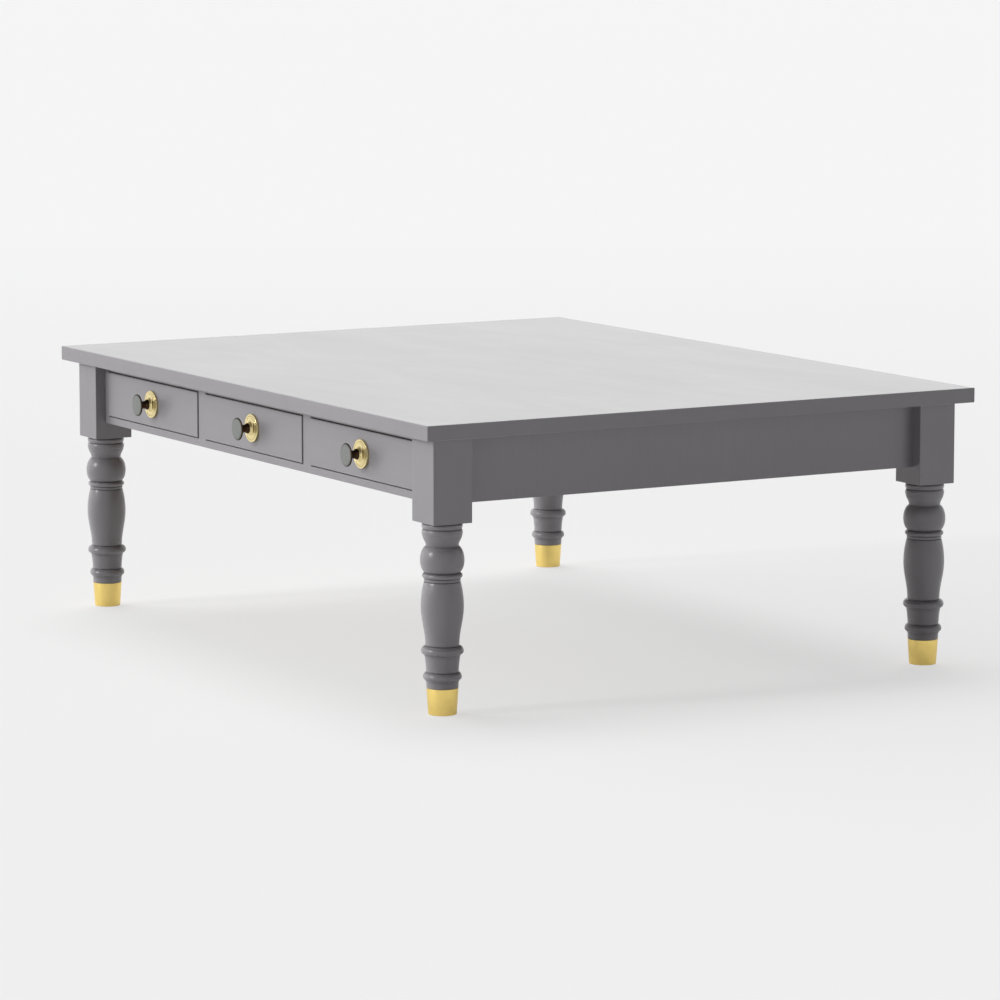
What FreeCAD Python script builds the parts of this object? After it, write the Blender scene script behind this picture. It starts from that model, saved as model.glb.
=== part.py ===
"""Low coffee table on four turned legs, with three drawers in one long side.

Frame: +Z up, origin on the floor under the middle of the top, +X along the
long side, drawers facing -Y. Lengths are in millimetres.
"""
import FreeCAD, Part
import math
import os
from types import SimpleNamespace

import Sketcher

V = FreeCAD.Vector
NO_TURN = FreeCAD.Rotation()

# Driving sizes
SIZES = {
    # whole table
    "table_height": 450,
    "top_length": 1300,
    "top_depth": 1000,
    "top_thickness": 23.5,
    "top_overhang": 22.5,
    "top_arris": 1.0,
    # square post at the head of each leg
    "post_side": 67,
    "post_height": 131.2,
    "post_arris": 0.8,
    # turning, from the foot up
    "ankle_height": 13,
    "ankle_radius": 24.6,
    "lower_ring_height": 11.4,
    "lower_ring_radius": 29,
    "foot_height": 25.8,
    "foot_low_radius": 24.9,
    "foot_high_radius": 27.4,
    "upper_ring_height": 15,
    "upper_ring_radius": 31.9,
    "waist_radius": 25.9,
    "belly_radius": 32.8,
    "shoulder_radius": 28,
    "quirk_height": 3.2,
    "quirk_radius": 26.7,
    "collar_ring_height": 9.5,
    "collar_ring_radius": 30.2,
    "ball_foot_height": 2,
    "ball_foot_radius": 26.9,
    "ball_radius": 33.4,
    "neck_radius": 25.2,
    "cove_height": 15.2,
    "cushion_radius": 30.7,
    "cushion_height": 8.8,
    "cushion_top_radius": 29.3,
    "cap_height": 11.7,
    "cap_radius": 30.9,
    # brass ferrule on each foot and its felt glide
    "ferrule_height": 40.5,
    "ferrule_top_radius": 24.5,
    "ferrule_low_radius": 21.8,
    "ferrule_floor": 5,
    "spigot_radius": 19.8,
    "spigot_gap": 0.15,
    "spigot_end_gap": 0.5,
    "glide_radius": 17,
    "glide_thickness": 2,
    "glide_stand": 0.5,
    "glide_gap": 0.3,
    # joints of the frame
    "apron_height": 103,
    "apron_thickness": 20,
    "front_setback": 17.5,
    "side_setback": 20.5,
    "tenon_length": 24,
    "tenon_thickness": 8,
    "tenon_low_shoulder": 12,
    "tenon_high_shoulder": 16,
    "joint_gap": 0.1,
    "joint_end_gap": 0.8,
    "housing_depth": 6,
    # drawer rails and the uprights between them
    "rail_height": 12,
    "divider_width": 26,
    "stile_width": 15.5,
    "rail_tenon_length": 20,
    "rail_tenon_width": 13,
    "rail_tenon_height": 8,
    "rail_tenon_inset": 7,
    "tail_root": 26,
    "tail_tip": 32,
    "stub_thickness": 7,
    "stub_breadth": 28,
    "stub_height": 5,
    # inside the frame
    "middle_rail_thickness": 20,
    "brace_thickness": 20,
    "brace_height": 60,
    "ledge_width": 15,
    "runner_height": 12,
    "guide_height": 24,
    "guide_width": 18,
    "kicker_height": 12,
    # buttons that hold the top down
    "button_length": 32,
    "button_width": 24,
    "button_height": 12,
    "button_tongue": 8,
    "button_tongue_height": 5,
    "button_groove_gap": 1,
    # drawers
    "drawer_gap": 1.8,
    "drawer_proud": 1.75,
    "drawer_back_gap": 12,
    "drawer_front_thickness": 20,
    "drawer_arris": 0.8,
    "drawer_side_thickness": 12,
    "drawer_back_thickness": 12,
    "drawer_back_drop": 4,
    "drawer_back_inset": 8,
    "drawer_back_housing": 4,
    "drawer_bottom_thickness": 5,
    "drawer_bottom_rise": 9,
    "bottom_groove_depth": 5,
    "bottom_gap": 0.2,
    "dovetail_length": 14,
    "dovetail_tip": 17,
    "dovetail_root": 13,
    "run_gap": 0.3,
    "guide_gap": 0.5,
    "stop_length": 20,
    "stop_width": 40,
    "stop_height": 6,
    # turn catch inside each drawer back
    "catch_width": 14,
    "catch_thickness": 4,
    "catch_reach": 12,
    "catch_drop": 22,
    "peg_radius": 3,
    "peg_length": 8,
    # knob and its backplate
    "plate_radius": 23.3,
    "plate_thickness": 2.2,
    "plate_step_radius": 16.5,
    "plate_step_height": 1.2,
    "boss_radius": 8.8,
    "boss_height": 8.6,
    "knob_height": 21.6,
    "knob_base_radius": 8.6,
    "knob_base_height": 3,
    "knob_neck_radius": 6.5,
    "knob_radius": 18.5,
    "knob_rim": 4,
    "knob_bore_depth": 12,
    "knob_screw_length": 38,
    "knob_screw_radius": 2,
    "knob_screw_head_radius": 4.2,
    "knob_screw_head_height": 2.4,
    "bore_gap": 0.1,
    # how far a cutting solid runs past the face that it opens
    "overrun": 1,
}

# Places given as parts of the length that they follow
BELLY_SHARE = 0.64
RING_LOW_SHARE = 0.3
RING_HIGH_SHARE = 0.6
COVE_HEIGHT_SHARES = (0.3, 0.7)
COVE_SWELL_SHARES = (0.18, 0.8)
STOP_SHARE = 0.6
SIDE_BUTTON_SHARES = (0.3, 0.75)
LONG_BUTTON_SHARE = 0.5

TAILS = 3
FULL_TURN = 360

doc = FreeCAD.newDocument("coffee_table")
sheet = doc.addObject("Spreadsheet::Sheet", "Sizes")
for row, (alias, value) in enumerate(SIZES.items(), start=1):
    sheet.set(f"A{row}", alias)
    sheet.set(f"B{row}", str(value))
    sheet.setAlias(f"B{row}", alias)
doc.recompute()


class Size:
    """A length: its number and the formula that binds it to the sheet."""

    def __init__(self, value, text):
        self.value = float(value)
        self.text = text

    def __add__(self, other):
        return Size(self.value + number(other), f"({self.text} + {formula(other)})")

    def __radd__(self, other):
        return Size(number(other) + self.value, f"({formula(other)} + {self.text})")

    def __sub__(self, other):
        return Size(self.value - number(other), f"({self.text} - {formula(other)})")

    def __rsub__(self, other):
        return Size(number(other) - self.value, f"({formula(other)} - {self.text})")

    def __mul__(self, other):
        return Size(self.value * number(other), f"({self.text} * {formula(other)})")

    __rmul__ = __mul__

    def __truediv__(self, other):
        return Size(self.value / number(other), f"({self.text} / {formula(other)})")

    def __neg__(self):
        return Size(-self.value, f"(0 - {self.text})")

    def root(self):
        """Square root, for the height of a ball above a given radius."""
        return Size(math.sqrt(self.value), f"sqrt({self.text})")


def number(length):
    return length.value if isinstance(length, Size) else float(length)


def formula(length):
    return length.text if isinstance(length, Size) else repr(length)


def bind(thing, path, length):
    """Bind one property of an object to a length."""
    if isinstance(length, Size):
        thing.setExpression(path, length.text)


size = SimpleNamespace(**{alias: Size(sheet.get(alias), f"Sizes.{alias}") for alias in SIZES})

# Levels and faces that several pieces share
under_top = size.table_height - size.top_thickness
post_bottom = under_top - size.post_height
apron_low = under_top - size.apron_height
post_out_x = size.top_length / 2 - size.top_overhang
post_out_y = size.top_depth / 2 - size.top_overhang
post_in_x = post_out_x - size.post_side
post_in_y = post_out_y - size.post_side
leg_x = post_out_x - size.post_side / 2
leg_y = post_out_y - size.post_side / 2
side_apron_x = post_out_x - size.side_setback - size.apron_thickness / 2
back_apron_y = post_out_y - size.side_setback - size.apron_thickness / 2
side_inner_x = side_apron_x - size.apron_thickness / 2
back_inner_y = back_apron_y - size.apron_thickness / 2
tenon_height = size.apron_height - size.tenon_low_shoulder - size.tenon_high_shoulder
front_face_y = -(post_out_y - size.front_setback)
rail_depth = size.post_side - size.front_setback
middle_front_y = -size.middle_rail_thickness / 2

# Drawer openings
opening_low = apron_low + size.rail_height
opening_height = size.apron_height - size.rail_height * 2
opening_width = (post_in_x * 2 - size.divider_width * 2 - size.stile_width * 2) / 3
drawer_pitch = opening_width + size.divider_width
opening_edge_x = post_in_x - size.stile_width

# Drawers: local y runs inwards from the face, local z up from the lower edge
drawer_width = opening_width - size.drawer_gap * 2
drawer_height = opening_height - size.drawer_gap * 2
drawer_face_y = front_face_y - size.drawer_proud
drawer_low = opening_low + size.drawer_gap
drawer_length = middle_front_y - size.drawer_back_gap - drawer_face_y
inner_half = drawer_width / 2 - size.drawer_side_thickness
panel_top = size.drawer_bottom_rise + size.drawer_bottom_thickness
back_far = drawer_length - size.drawer_back_inset
back_near = back_far - size.drawer_back_thickness
back_top = drawer_height - size.drawer_back_drop

# Runners and kickers
runner_top = drawer_low - size.run_gap
ledge_edge_x = opening_edge_x - size.ledge_width
web_reach = size.drawer_gap - size.guide_gap
track_length = middle_front_y - (front_face_y + rail_depth)

# Button groove, measured up from the lower edge of an apron
groove_low = size.apron_height - size.button_height - size.button_groove_gap
groove_height = size.button_tongue_height + size.button_groove_gap
groove_depth = size.button_tongue + size.button_groove_gap
button_half = size.button_length / 2
rear_y = -middle_front_y
rail_mid_y = front_face_y + rail_depth / 2


def new_body(label):
    body = doc.addObject("PartDesign::Body", label)
    body.Label = label
    return body


def place(thing, x, y, z, turn=NO_TURN):
    """Put a piece at a point given by bound lengths."""
    thing.Placement = FreeCAD.Placement(V(number(x), number(y), number(z)), turn)
    bind(thing, "Placement.Base.x", x)
    bind(thing, "Placement.Base.y", y)
    bind(thing, "Placement.Base.z", z)


def block(body, kind, low, span):
    """Add or cut a rectangular block: kind is Additive or Subtractive."""
    box = body.newObject(f"PartDesign::{kind}Box", "Block")
    for name, length in zip(("Length", "Width", "Height"), span):
        setattr(box, name, number(length))
        bind(box, name, length)
    place(box, *low)
    return box


def round_hole(body, centre, radius, depth, turn=NO_TURN):
    """Cut a round hole from a point, along the turned Z axis."""
    hole = body.newObject("PartDesign::SubtractiveCylinder", "RoundHole")
    hole.Radius = number(radius)
    hole.Height = number(depth)
    bind(hole, "Radius", radius)
    bind(hole, "Height", depth)
    place(hole, *centre, turn)
    return hole


def new_sketch(body, role, offset=0):
    """Start a sketch on an origin plane of the body, moved along its normal."""
    sketch = body.newObject("Sketcher::SketchObject", "Outline")
    plane = next(part for part in body.Origin.OriginFeatures if part.Role == role)
    sketch.AttachmentSupport = [(plane, "")]
    sketch.MapMode = "FlatFace"
    sketch.AttachmentOffset = FreeCAD.Placement(V(0, 0, number(offset)), NO_TURN)
    bind(sketch, "AttachmentOffset.Base.z", offset)
    return sketch


def hold(sketch, element, end, axis, length):
    """Fix one coordinate of a point, on the axis where it is zero."""
    if not isinstance(length, Size):
        other_axis = -2 if axis == "X" else -1
        sketch.addConstraint(Sketcher.Constraint("PointOnObject", element, end, other_axis))
        return
    index = sketch.addConstraint(
        Sketcher.Constraint(f"Distance{axis}", element, end, length.value))
    name = f"place_{index}"
    sketch.renameConstraint(index, name)
    sketch.setExpression(f"Constraints.{name}", length.text)


def flat(point):
    return V(number(point[0]), number(point[1]), 0)


def end_at(sketch, element, point):
    """Say which end of an element lies at a point: 1 or 2."""
    first = sketch.getPoint(element, 1)
    last = sketch.getPoint(element, 2)
    return 1 if (first - point).Length < (last - point).Length else 2


def side_point(centre, one, other):
    """Middle of the short arc about a centre from one point to another."""
    half_way = (one - centre).normalize() + (other - centre).normalize()
    return centre + half_way.normalize() * (one - centre).Length


def arc_between(sketch, centre, one, other):
    arc = Part.Arc(one, side_point(centre, one, other), other)
    return sketch.addGeometry(arc, False)


def add_edge(sketch, start, kind, extra, end):
    """Add one edge of an outline and return its elements, in order.

    line: straight. ball: an arc centred on the axis at the extra height. bow:
    an arc that starts upright. cyma: two equal arcs that start and end upright.
    """
    first, last = flat(start), flat(end)
    if kind == "line":
        return [sketch.addGeometry(Part.LineSegment(first, last), False)]
    if kind == "ball":
        arc = arc_between(sketch, flat((0, extra)), first, last)
        sketch.addConstraint(Sketcher.Constraint("PointOnObject", arc, 3, -2))
        return [arc]
    step, rise = last.x - first.x, last.y - first.y
    if kind == "bow":
        radius = (step * step + rise * rise) / (2 * abs(step))
        centre = first + V(math.copysign(radius, step), 0, 0)
        arc = arc_between(sketch, centre, first, last)
        near = end_at(sketch, arc, first)
        sketch.addConstraint(Sketcher.Constraint("Horizontal", arc, near, arc, 3))
        return [arc]
    radius = (step * step + rise * rise) / (4 * abs(step))
    turn = (first + last) / 2
    out = V(math.copysign(radius, step), 0, 0)
    low = arc_between(sketch, first + out, first, turn)
    high = arc_between(sketch, last - out, turn, last)
    low_end = end_at(sketch, low, turn)
    high_end = end_at(sketch, high, turn)
    sketch.addConstraint(Sketcher.Constraint("Tangent", low, low_end, high, high_end))
    sketch.addConstraint(Sketcher.Constraint("Equal", low, high))
    sketch.addConstraint(Sketcher.Constraint("Horizontal", low, 3 - low_end, low, 3))
    sketch.addConstraint(Sketcher.Constraint("Horizontal", high, 3 - high_end, high, 3))
    return [low, high]


def outline(sketch, start, edges):
    """Draw a closed outline: edges are (kind, extra, end), closed by a line."""
    corner = start
    runs = []
    for kind, extra, end in edges + [("line", None, start)]:
        elements = add_edge(sketch, corner, kind, extra, end)
        runs.append((corner, elements, end))
        corner = end
    for index, (corner, elements, end) in enumerate(runs):
        later = runs[(index + 1) % len(runs)][1][0]
        end_here = end_at(sketch, elements[-1], flat(end))
        start_next = end_at(sketch, later, flat(end))
        sketch.addConstraint(
            Sketcher.Constraint("Coincident", elements[-1], end_here, later, start_next))
        hold(sketch, later, start_next, "X", end[0])
        hold(sketch, later, start_next, "Y", end[1])


def polygon(sketch, points):
    outline(sketch, points[0], [("line", None, point) for point in points[1:]])


def circle(sketch, centre, radius):
    """Draw a circle at a bound centre with a bound radius."""
    ring = sketch.addGeometry(Part.Circle(flat(centre), V(0, 0, 1), number(radius)), False)
    hold(sketch, ring, 3, "X", centre[0])
    hold(sketch, ring, 3, "Y", centre[1])
    index = sketch.addConstraint(Sketcher.Constraint("Radius", ring, number(radius)))
    sketch.renameConstraint(index, f"radius_{index}")
    sketch.setExpression(f"Constraints.radius_{index}", radius.text)


def pad(body, sketch, length, against=False):
    """Pad an outline along its plane's normal, or against it."""
    feature = body.newObject("PartDesign::Pad", "Pad")
    feature.Profile = sketch
    feature.Length = number(length)
    bind(feature, "Length", length)
    feature.Reversed = against
    return feature


def pocket(body, sketch, length, along=False):
    """Cut an outline against its plane's normal, or along it."""
    feature = body.newObject("PartDesign::Pocket", "Pocket")
    feature.Profile = sketch
    feature.Length = number(length)
    bind(feature, "Length", length)
    feature.Reversed = along
    return feature


def turned(body, start, edges):
    """Turn an outline of radius and height about the upright axis."""
    sketch = new_sketch(body, "XZ_Plane")
    outline(sketch, start, edges)
    feature = body.newObject("PartDesign::Revolution", "Turning")
    feature.Profile = sketch
    feature.ReferenceAxis = (sketch, ["V_Axis"])
    feature.Angle = FULL_TURN
    return feature


def soften(body, width, wanted):
    """Take the sharpness off the edges of the tip that a test picks."""
    doc.recompute()
    base = body.Tip
    names = [f"Edge{index}" for index, edge in enumerate(base.Shape.Edges, start=1)
             if wanted(edge)]
    feature = body.newObject("PartDesign::Chamfer", "Arris")
    feature.Base = (base, names)
    feature.Size = number(width)
    bind(feature, "Size", width)
    return feature


def repeat_upwards(body, feature, sketch, pitch, count):
    """Repeat a feature up the sketch's vertical axis."""
    pattern = body.newObject("PartDesign::LinearPattern", "Row")
    pattern.Originals = [feature]
    pattern.Direction = (sketch, ["V_Axis"])
    length = pitch * (count - 1)
    pattern.Length = number(length)
    bind(pattern, "Length", length)
    pattern.Occurrences = count
    body.Tip = pattern
    return pattern


def signed_span(sign, near, far):
    """Low end and length of a stretch from near to far, on one side of zero."""
    return (near if sign > 0 else -far), far - near


def is_upright(edge):
    box = edge.BoundBox
    return box.XLength + box.YLength < box.ZLength / 2


def group(label, places):
    """One node of separate solids: links to a master, each with its point."""
    links = []
    for index, (master, spot) in enumerate(places):
        link = doc.addObject("App::Link", f"{label}_{index}")
        link.LinkedObject = master
        link.LinkTransform = True
        place(link, *spot)
        links.append(link)
    compound = doc.addObject("Part::Compound", label)
    compound.Label = label
    compound.Links = links
    return compound


def table_top():
    body = new_body("table_top")
    sketch = new_sketch(body, "XY_Plane")
    half_x, half_y = size.top_length / 2, size.top_depth / 2
    polygon(sketch, [(-half_x, -half_y), (half_x, -half_y), (half_x, half_y), (-half_x, half_y)])
    pad(body, sketch, size.top_thickness)
    soften(body, size.top_arris, lambda edge: True)
    place(body, 0, 0, under_top)
    return [body]


def ring(edges, level, height, low_radius, crest_radius, high_radius):
    """Add a ring with sloping shoulders and return the level of its top."""
    edges.append(("line", None, (low_radius, level)))
    edges.append(("line", None, (crest_radius, level + height * RING_LOW_SHARE)))
    edges.append(("line", None, (crest_radius, level + height * RING_HIGH_SHARE)))
    edges.append(("line", None, (high_radius, level + height)))
    return level + height


def leg_turning():
    """Outline of the turned part, from the end in the ferrule to the post."""
    s = size
    spigot_low = s.glide_stand + s.ferrule_floor + s.spigot_end_gap
    ferrule_top = s.glide_stand + s.ferrule_height
    edges = [
        ("line", None, (s.spigot_radius, spigot_low)),
        ("line", None, (s.spigot_radius, ferrule_top)),
        ("line", None, (s.ankle_radius, ferrule_top)),
    ]
    level = ring(edges, ferrule_top + s.ankle_height, s.lower_ring_height,
                 s.ankle_radius, s.lower_ring_radius, s.foot_low_radius)
    level = ring(edges, level + s.foot_height, s.upper_ring_height,
                 s.foot_high_radius, s.upper_ring_radius, s.waist_radius)
    cap_low = post_bottom - s.cap_height
    cushion_low = cap_low - s.cushion_height
    cove_low = cushion_low - s.cove_height
    square = s.ball_radius * s.ball_radius
    ball_middle = cove_low - (square - s.neck_radius * s.neck_radius).root()
    ball_low = ball_middle - (square - s.ball_foot_radius * s.ball_foot_radius).root()
    collar_top = ball_low - s.ball_foot_height
    vase_top = collar_top - s.collar_ring_height - s.quirk_height
    belly = level + (vase_top - level) * BELLY_SHARE
    edges.append(("cyma", None, (s.belly_radius, belly)))
    edges.append(("bow", None, (s.shoulder_radius, vase_top)))
    edges.append(("line", None, (s.quirk_radius, vase_top)))
    ring(edges, vase_top + s.quirk_height, s.collar_ring_height,
         s.quirk_radius, s.collar_ring_radius, s.ball_foot_radius)
    edges.append(("line", None, (s.ball_foot_radius, ball_low)))
    edges.append(("ball", ball_middle, (s.neck_radius, cove_low)))
    for height_share, swell_share in zip(COVE_HEIGHT_SHARES, COVE_SWELL_SHARES):
        radius = s.neck_radius + (s.cushion_radius - s.neck_radius) * swell_share
        edges.append(("line", None, (radius, cove_low + s.cove_height * height_share)))
    edges.append(("line", None, (s.cushion_radius, cushion_low)))
    edges.append(("line", None, (s.cushion_top_radius, cap_low)))
    edges.append(("line", None, (s.cap_radius, cap_low)))
    edges.append(("line", None, (s.cap_radius, post_bottom)))
    edges.append(("line", None, (0, post_bottom)))
    return (0, spigot_low), edges


def leg(label, side, end):
    """A leg: side is the sign of its x, end the sign of its y."""
    s = size
    body = new_body(label)
    square = new_sketch(body, "XY_Plane", post_bottom)
    half = s.post_side / 2
    polygon(square, [(-half, -half), (half, -half), (half, half), (-half, half)])
    pad(body, square, s.post_height)
    soften(body, s.post_arris, is_upright)
    turned(body, *leg_turning())
    # mortise of the side apron, in the face towards the middle of the side
    low_x, wide_x = signed_span(side, side_apron_x - leg_x - s.tenon_thickness / 2 - s.joint_gap,
                                side_apron_x - leg_x + s.tenon_thickness / 2 + s.joint_gap)
    depth = s.tenon_length + s.joint_end_gap
    low_y, wide_y = signed_span(-end, half - depth, half + s.overrun)
    mortise_low = apron_low + s.tenon_low_shoulder - s.joint_gap
    mortise_height = tenon_height + s.joint_gap * 2
    block(body, "Subtractive", (low_x, low_y, mortise_low), (wide_x, wide_y, mortise_height))
    if end > 0:
        low_y, wide_y = signed_span(end, back_apron_y - leg_y - s.tenon_thickness / 2 - s.joint_gap,
                                    back_apron_y - leg_y + s.tenon_thickness / 2 + s.joint_gap)
        low_x, wide_x = signed_span(-side, half - depth, half + s.overrun)
        block(body, "Subtractive", (low_x, low_y, mortise_low), (wide_x, wide_y, mortise_height))
    else:
        front_joints(body, side)
    place(body, leg_x * side, leg_y * end, 0)
    return [body]


def front_joints(body, side):
    """Cut the dovetail socket and twin mortises of the drawer rails."""
    s = size
    half = s.post_side / 2
    rail_y = rail_mid_y + leg_y
    socket = new_sketch(body, "XY_Plane", under_top + s.overrun)
    root = s.tail_root / 2 + s.joint_gap
    tip = s.tail_tip / 2 + s.joint_gap
    near = -side * half
    far = -side * (half - s.rail_tenon_length - s.joint_end_gap)
    past = -side * (half + s.overrun)
    polygon(socket, [(past, rail_y - root), (near, rail_y - root), (far, rail_y - tip),
                     (far, rail_y + tip), (near, rail_y + root), (past, rail_y + root)])
    pocket(body, socket, s.rail_height + s.overrun)
    depth = s.rail_tenon_length + s.joint_end_gap
    low_x, wide_x = signed_span(-side, half - depth, half + s.overrun)
    for low_y in rail_tenon_lows():
        block(body, "Subtractive",
              (low_x, low_y + leg_y - s.joint_gap, rail_tenon_low - s.joint_gap),
              (wide_x, s.rail_tenon_width + s.joint_gap * 2, s.rail_tenon_height + s.joint_gap * 2))


rail_tenon_low = apron_low + (size.rail_height - size.rail_tenon_height) / 2


def rail_tenon_lows():
    """Front faces of the twin tenons of the lower rail."""
    first = front_face_y + size.rail_tenon_inset
    last = front_face_y + rail_depth - size.rail_tenon_inset - size.rail_tenon_width
    return first, last


def ferrule_master():
    """Tapered brass cup, bored straight, with a recess for the glide."""
    s = size
    body = new_body("ferrule_cup")
    bore = s.spigot_radius + s.spigot_gap
    seat = s.glide_radius + s.glide_gap
    recess = s.glide_thickness - s.glide_stand
    turned(body, (0, recess), [
        ("line", None, (seat, recess)),
        ("line", None, (seat, 0)),
        ("line", None, (s.ferrule_low_radius, 0)),
        ("line", None, (s.ferrule_top_radius, s.ferrule_height)),
        ("line", None, (bore, s.ferrule_height)),
        ("line", None, (bore, s.ferrule_floor)),
        ("line", None, (0, s.ferrule_floor)),
    ])
    return body


def glide_master():
    body = new_body("glide_disc")
    sketch = new_sketch(body, "XY_Plane")
    circle(sketch, (0, 0), size.glide_radius)
    pad(body, sketch, size.glide_thickness)
    return body


def side_apron(label, side):
    """Side apron with its tenons, button groove and middle rail housing."""
    s = size
    body = new_body(label)
    thick = s.apron_thickness
    block(body, "Additive", (-thick / 2, -post_in_y, 0), (thick, post_in_y * 2, s.apron_height))
    for end in (-1, 1):
        low_y, length = signed_span(end, post_in_y, post_in_y + s.tenon_length)
        block(body, "Additive", (-s.tenon_thickness / 2, low_y, s.tenon_low_shoulder),
              (s.tenon_thickness, length, tenon_height))
    low_x, wide_x = signed_span(-side, thick / 2 - groove_depth, thick / 2 + s.overrun)
    block(body, "Subtractive", (low_x, -post_in_y, groove_low),
          (wide_x, post_in_y * 2, groove_height))
    low_x, wide_x = signed_span(-side, thick / 2 - s.housing_depth, thick / 2 + s.overrun)
    half = s.middle_rail_thickness / 2 + s.joint_gap
    block(body, "Subtractive", (low_x, -half, -s.overrun),
          (wide_x, half * 2, s.apron_height + s.overrun * 2))
    place(body, side_apron_x * side, 0, apron_low)
    return [body]


def back_apron():
    """Back apron with its tenons, button groove and brace housing."""
    s = size
    body = new_body("apron_back")
    thick = s.apron_thickness
    block(body, "Additive", (-post_in_x, -thick / 2, 0), (post_in_x * 2, thick, s.apron_height))
    for side in (-1, 1):
        low_x, length = signed_span(side, post_in_x, post_in_x + s.tenon_length)
        block(body, "Additive", (low_x, -s.tenon_thickness / 2, s.tenon_low_shoulder),
              (length, s.tenon_thickness, tenon_height))
    block(body, "Subtractive", (-post_in_x, -thick / 2 - s.overrun, groove_low),
          (post_in_x * 2, groove_depth + s.overrun, groove_height))
    half = s.brace_thickness / 2 + s.joint_gap
    block(body, "Subtractive", (-half, -thick / 2 - s.overrun, s.apron_height - s.brace_height),
          (half * 2, s.housing_depth + s.overrun, s.brace_height + s.overrun))
    place(body, 0, back_apron_y, apron_low)
    return [body]


def middle_rail():
    """Long rail across the middle, which carries the rear of the runners."""
    s = size
    body = new_body("middle_rail")
    reach = side_inner_x + s.housing_depth
    thick = s.middle_rail_thickness
    block(body, "Additive", (-reach, -thick / 2, 0), (reach * 2, thick, s.apron_height))
    block(body, "Subtractive", (-side_inner_x, thick / 2 - groove_depth, groove_low),
          (side_inner_x * 2, groove_depth + s.overrun, groove_height))
    half = s.brace_thickness / 2 + s.joint_gap
    block(body, "Subtractive", (-half, thick / 2 - s.housing_depth, s.apron_height - s.brace_height),
          (half * 2, s.housing_depth + s.overrun, s.brace_height + s.overrun))
    place(body, 0, 0, apron_low)
    return [body]


def cross_brace():
    """Short brace under the top, from the middle rail to the back apron."""
    s = size
    body = new_body("cross_brace")
    length = back_inner_y - rear_y + s.housing_depth * 2
    block(body, "Additive", (-s.brace_thickness / 2, 0, 0),
          (s.brace_thickness, length, s.brace_height))
    place(body, 0, rear_y - s.housing_depth, under_top - s.brace_height)
    return [body]


uprights = [
    ("divider_left", -drawer_pitch / 2, size.divider_width),
    ("divider_right", drawer_pitch / 2, size.divider_width),
    ("end_stile_left", -(post_in_x - size.stile_width / 2), size.stile_width),
    ("end_stile_right", post_in_x - size.stile_width / 2, size.stile_width),
]


def stub_mortises(body, low):
    """Cut a mortise for the stub tenon of each upright."""
    s = size
    span = (s.stub_thickness + s.joint_gap * 2, s.stub_breadth + s.joint_gap * 2,
            s.stub_height + s.joint_end_gap + s.overrun)
    for _, x, _ in uprights:
        block(body, "Subtractive", (x - span[0] / 2, (rail_depth - span[1]) / 2, low), span)


def bottom_rail():
    """Lower drawer rail with twin tenons at each end."""
    s = size
    body = new_body("front_bottom_rail")
    block(body, "Additive", (-post_in_x, 0, 0), (post_in_x * 2, rail_depth, s.rail_height))
    for side in (-1, 1):
        low_x, length = signed_span(side, post_in_x, post_in_x + s.rail_tenon_length)
        for low_y in rail_tenon_lows():
            block(body, "Additive", (low_x, low_y - front_face_y, rail_tenon_low - apron_low),
                  (length, s.rail_tenon_width, s.rail_tenon_height))
    stub_mortises(body, s.rail_height - s.stub_height - s.joint_end_gap)
    place(body, 0, front_face_y, apron_low)
    return [body]


def top_rail():
    """Upper drawer rail, dovetailed into the heads of the front legs."""
    s = size
    body = new_body("front_top_rail")
    reach = post_in_x
    tip_x = reach + s.rail_tenon_length
    middle = rail_depth / 2
    root, tip = s.tail_root / 2, s.tail_tip / 2
    plan = new_sketch(body, "XY_Plane")
    polygon(plan, [
        (-reach, 0), (reach, 0), (reach, middle - root), (tip_x, middle - tip),
        (tip_x, middle + tip), (reach, middle + root), (reach, rail_depth),
        (-reach, rail_depth), (-reach, middle + root), (-tip_x, middle + tip),
        (-tip_x, middle - tip), (-reach, middle - root),
    ])
    pad(body, plan, s.rail_height)
    stub_mortises(body, -s.overrun)
    place(body, 0, front_face_y, under_top - s.rail_height)
    return [body]


def upright(label, x, width):
    """Divider or end stile between the rails, with a stub tenon each end."""
    s = size
    body = new_body(label)
    block(body, "Additive", (-width / 2, 0, 0), (width, rail_depth, opening_height))
    block(body, "Additive",
          (-s.stub_thickness / 2, (rail_depth - s.stub_breadth) / 2, -s.stub_height),
          (s.stub_thickness, s.stub_breadth, opening_height + s.stub_height * 2))
    place(body, x, front_face_y, opening_low)
    return [body]


def strip(label, x, width, low, height):
    """A straight strip from the front rails back to the middle rail."""
    body = new_body(label)
    block(body, "Additive", (-width / 2, 0, 0), (width, track_length, height))
    place(body, x, front_face_y + rail_depth, low)
    return [body]


def drawer_track(name, side):
    """Runners, guides and kickers on one side of the middle drawer."""
    s = size
    inner_x = drawer_pitch / 2 * side
    inner_width = s.divider_width + s.ledge_width * 2
    inner_guide = s.divider_width + web_reach * 2
    outer_x = (ledge_edge_x + side_inner_x) / 2 * side
    outer_width = side_inner_x - ledge_edge_x
    guide_x = (opening_edge_x - web_reach + s.guide_width / 2) * side
    runner_low = runner_top - s.runner_height
    kicker_low = under_top - s.kicker_height
    made = strip(f"runner_inner_{name}", inner_x, inner_width, runner_low, s.runner_height)
    made += strip(f"runner_outer_{name}", outer_x, outer_width, runner_low, s.runner_height)
    made += strip(f"guide_inner_{name}", inner_x, inner_guide, runner_top, s.guide_height)
    made += strip(f"guide_outer_{name}", guide_x, s.guide_width, runner_top, s.guide_height)
    made += strip(f"kicker_inner_{name}", inner_x, inner_width, kicker_low, s.kicker_height)
    made += strip(f"kicker_outer_{name}", outer_x, outer_width, kicker_low, s.kicker_height)
    return made


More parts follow.
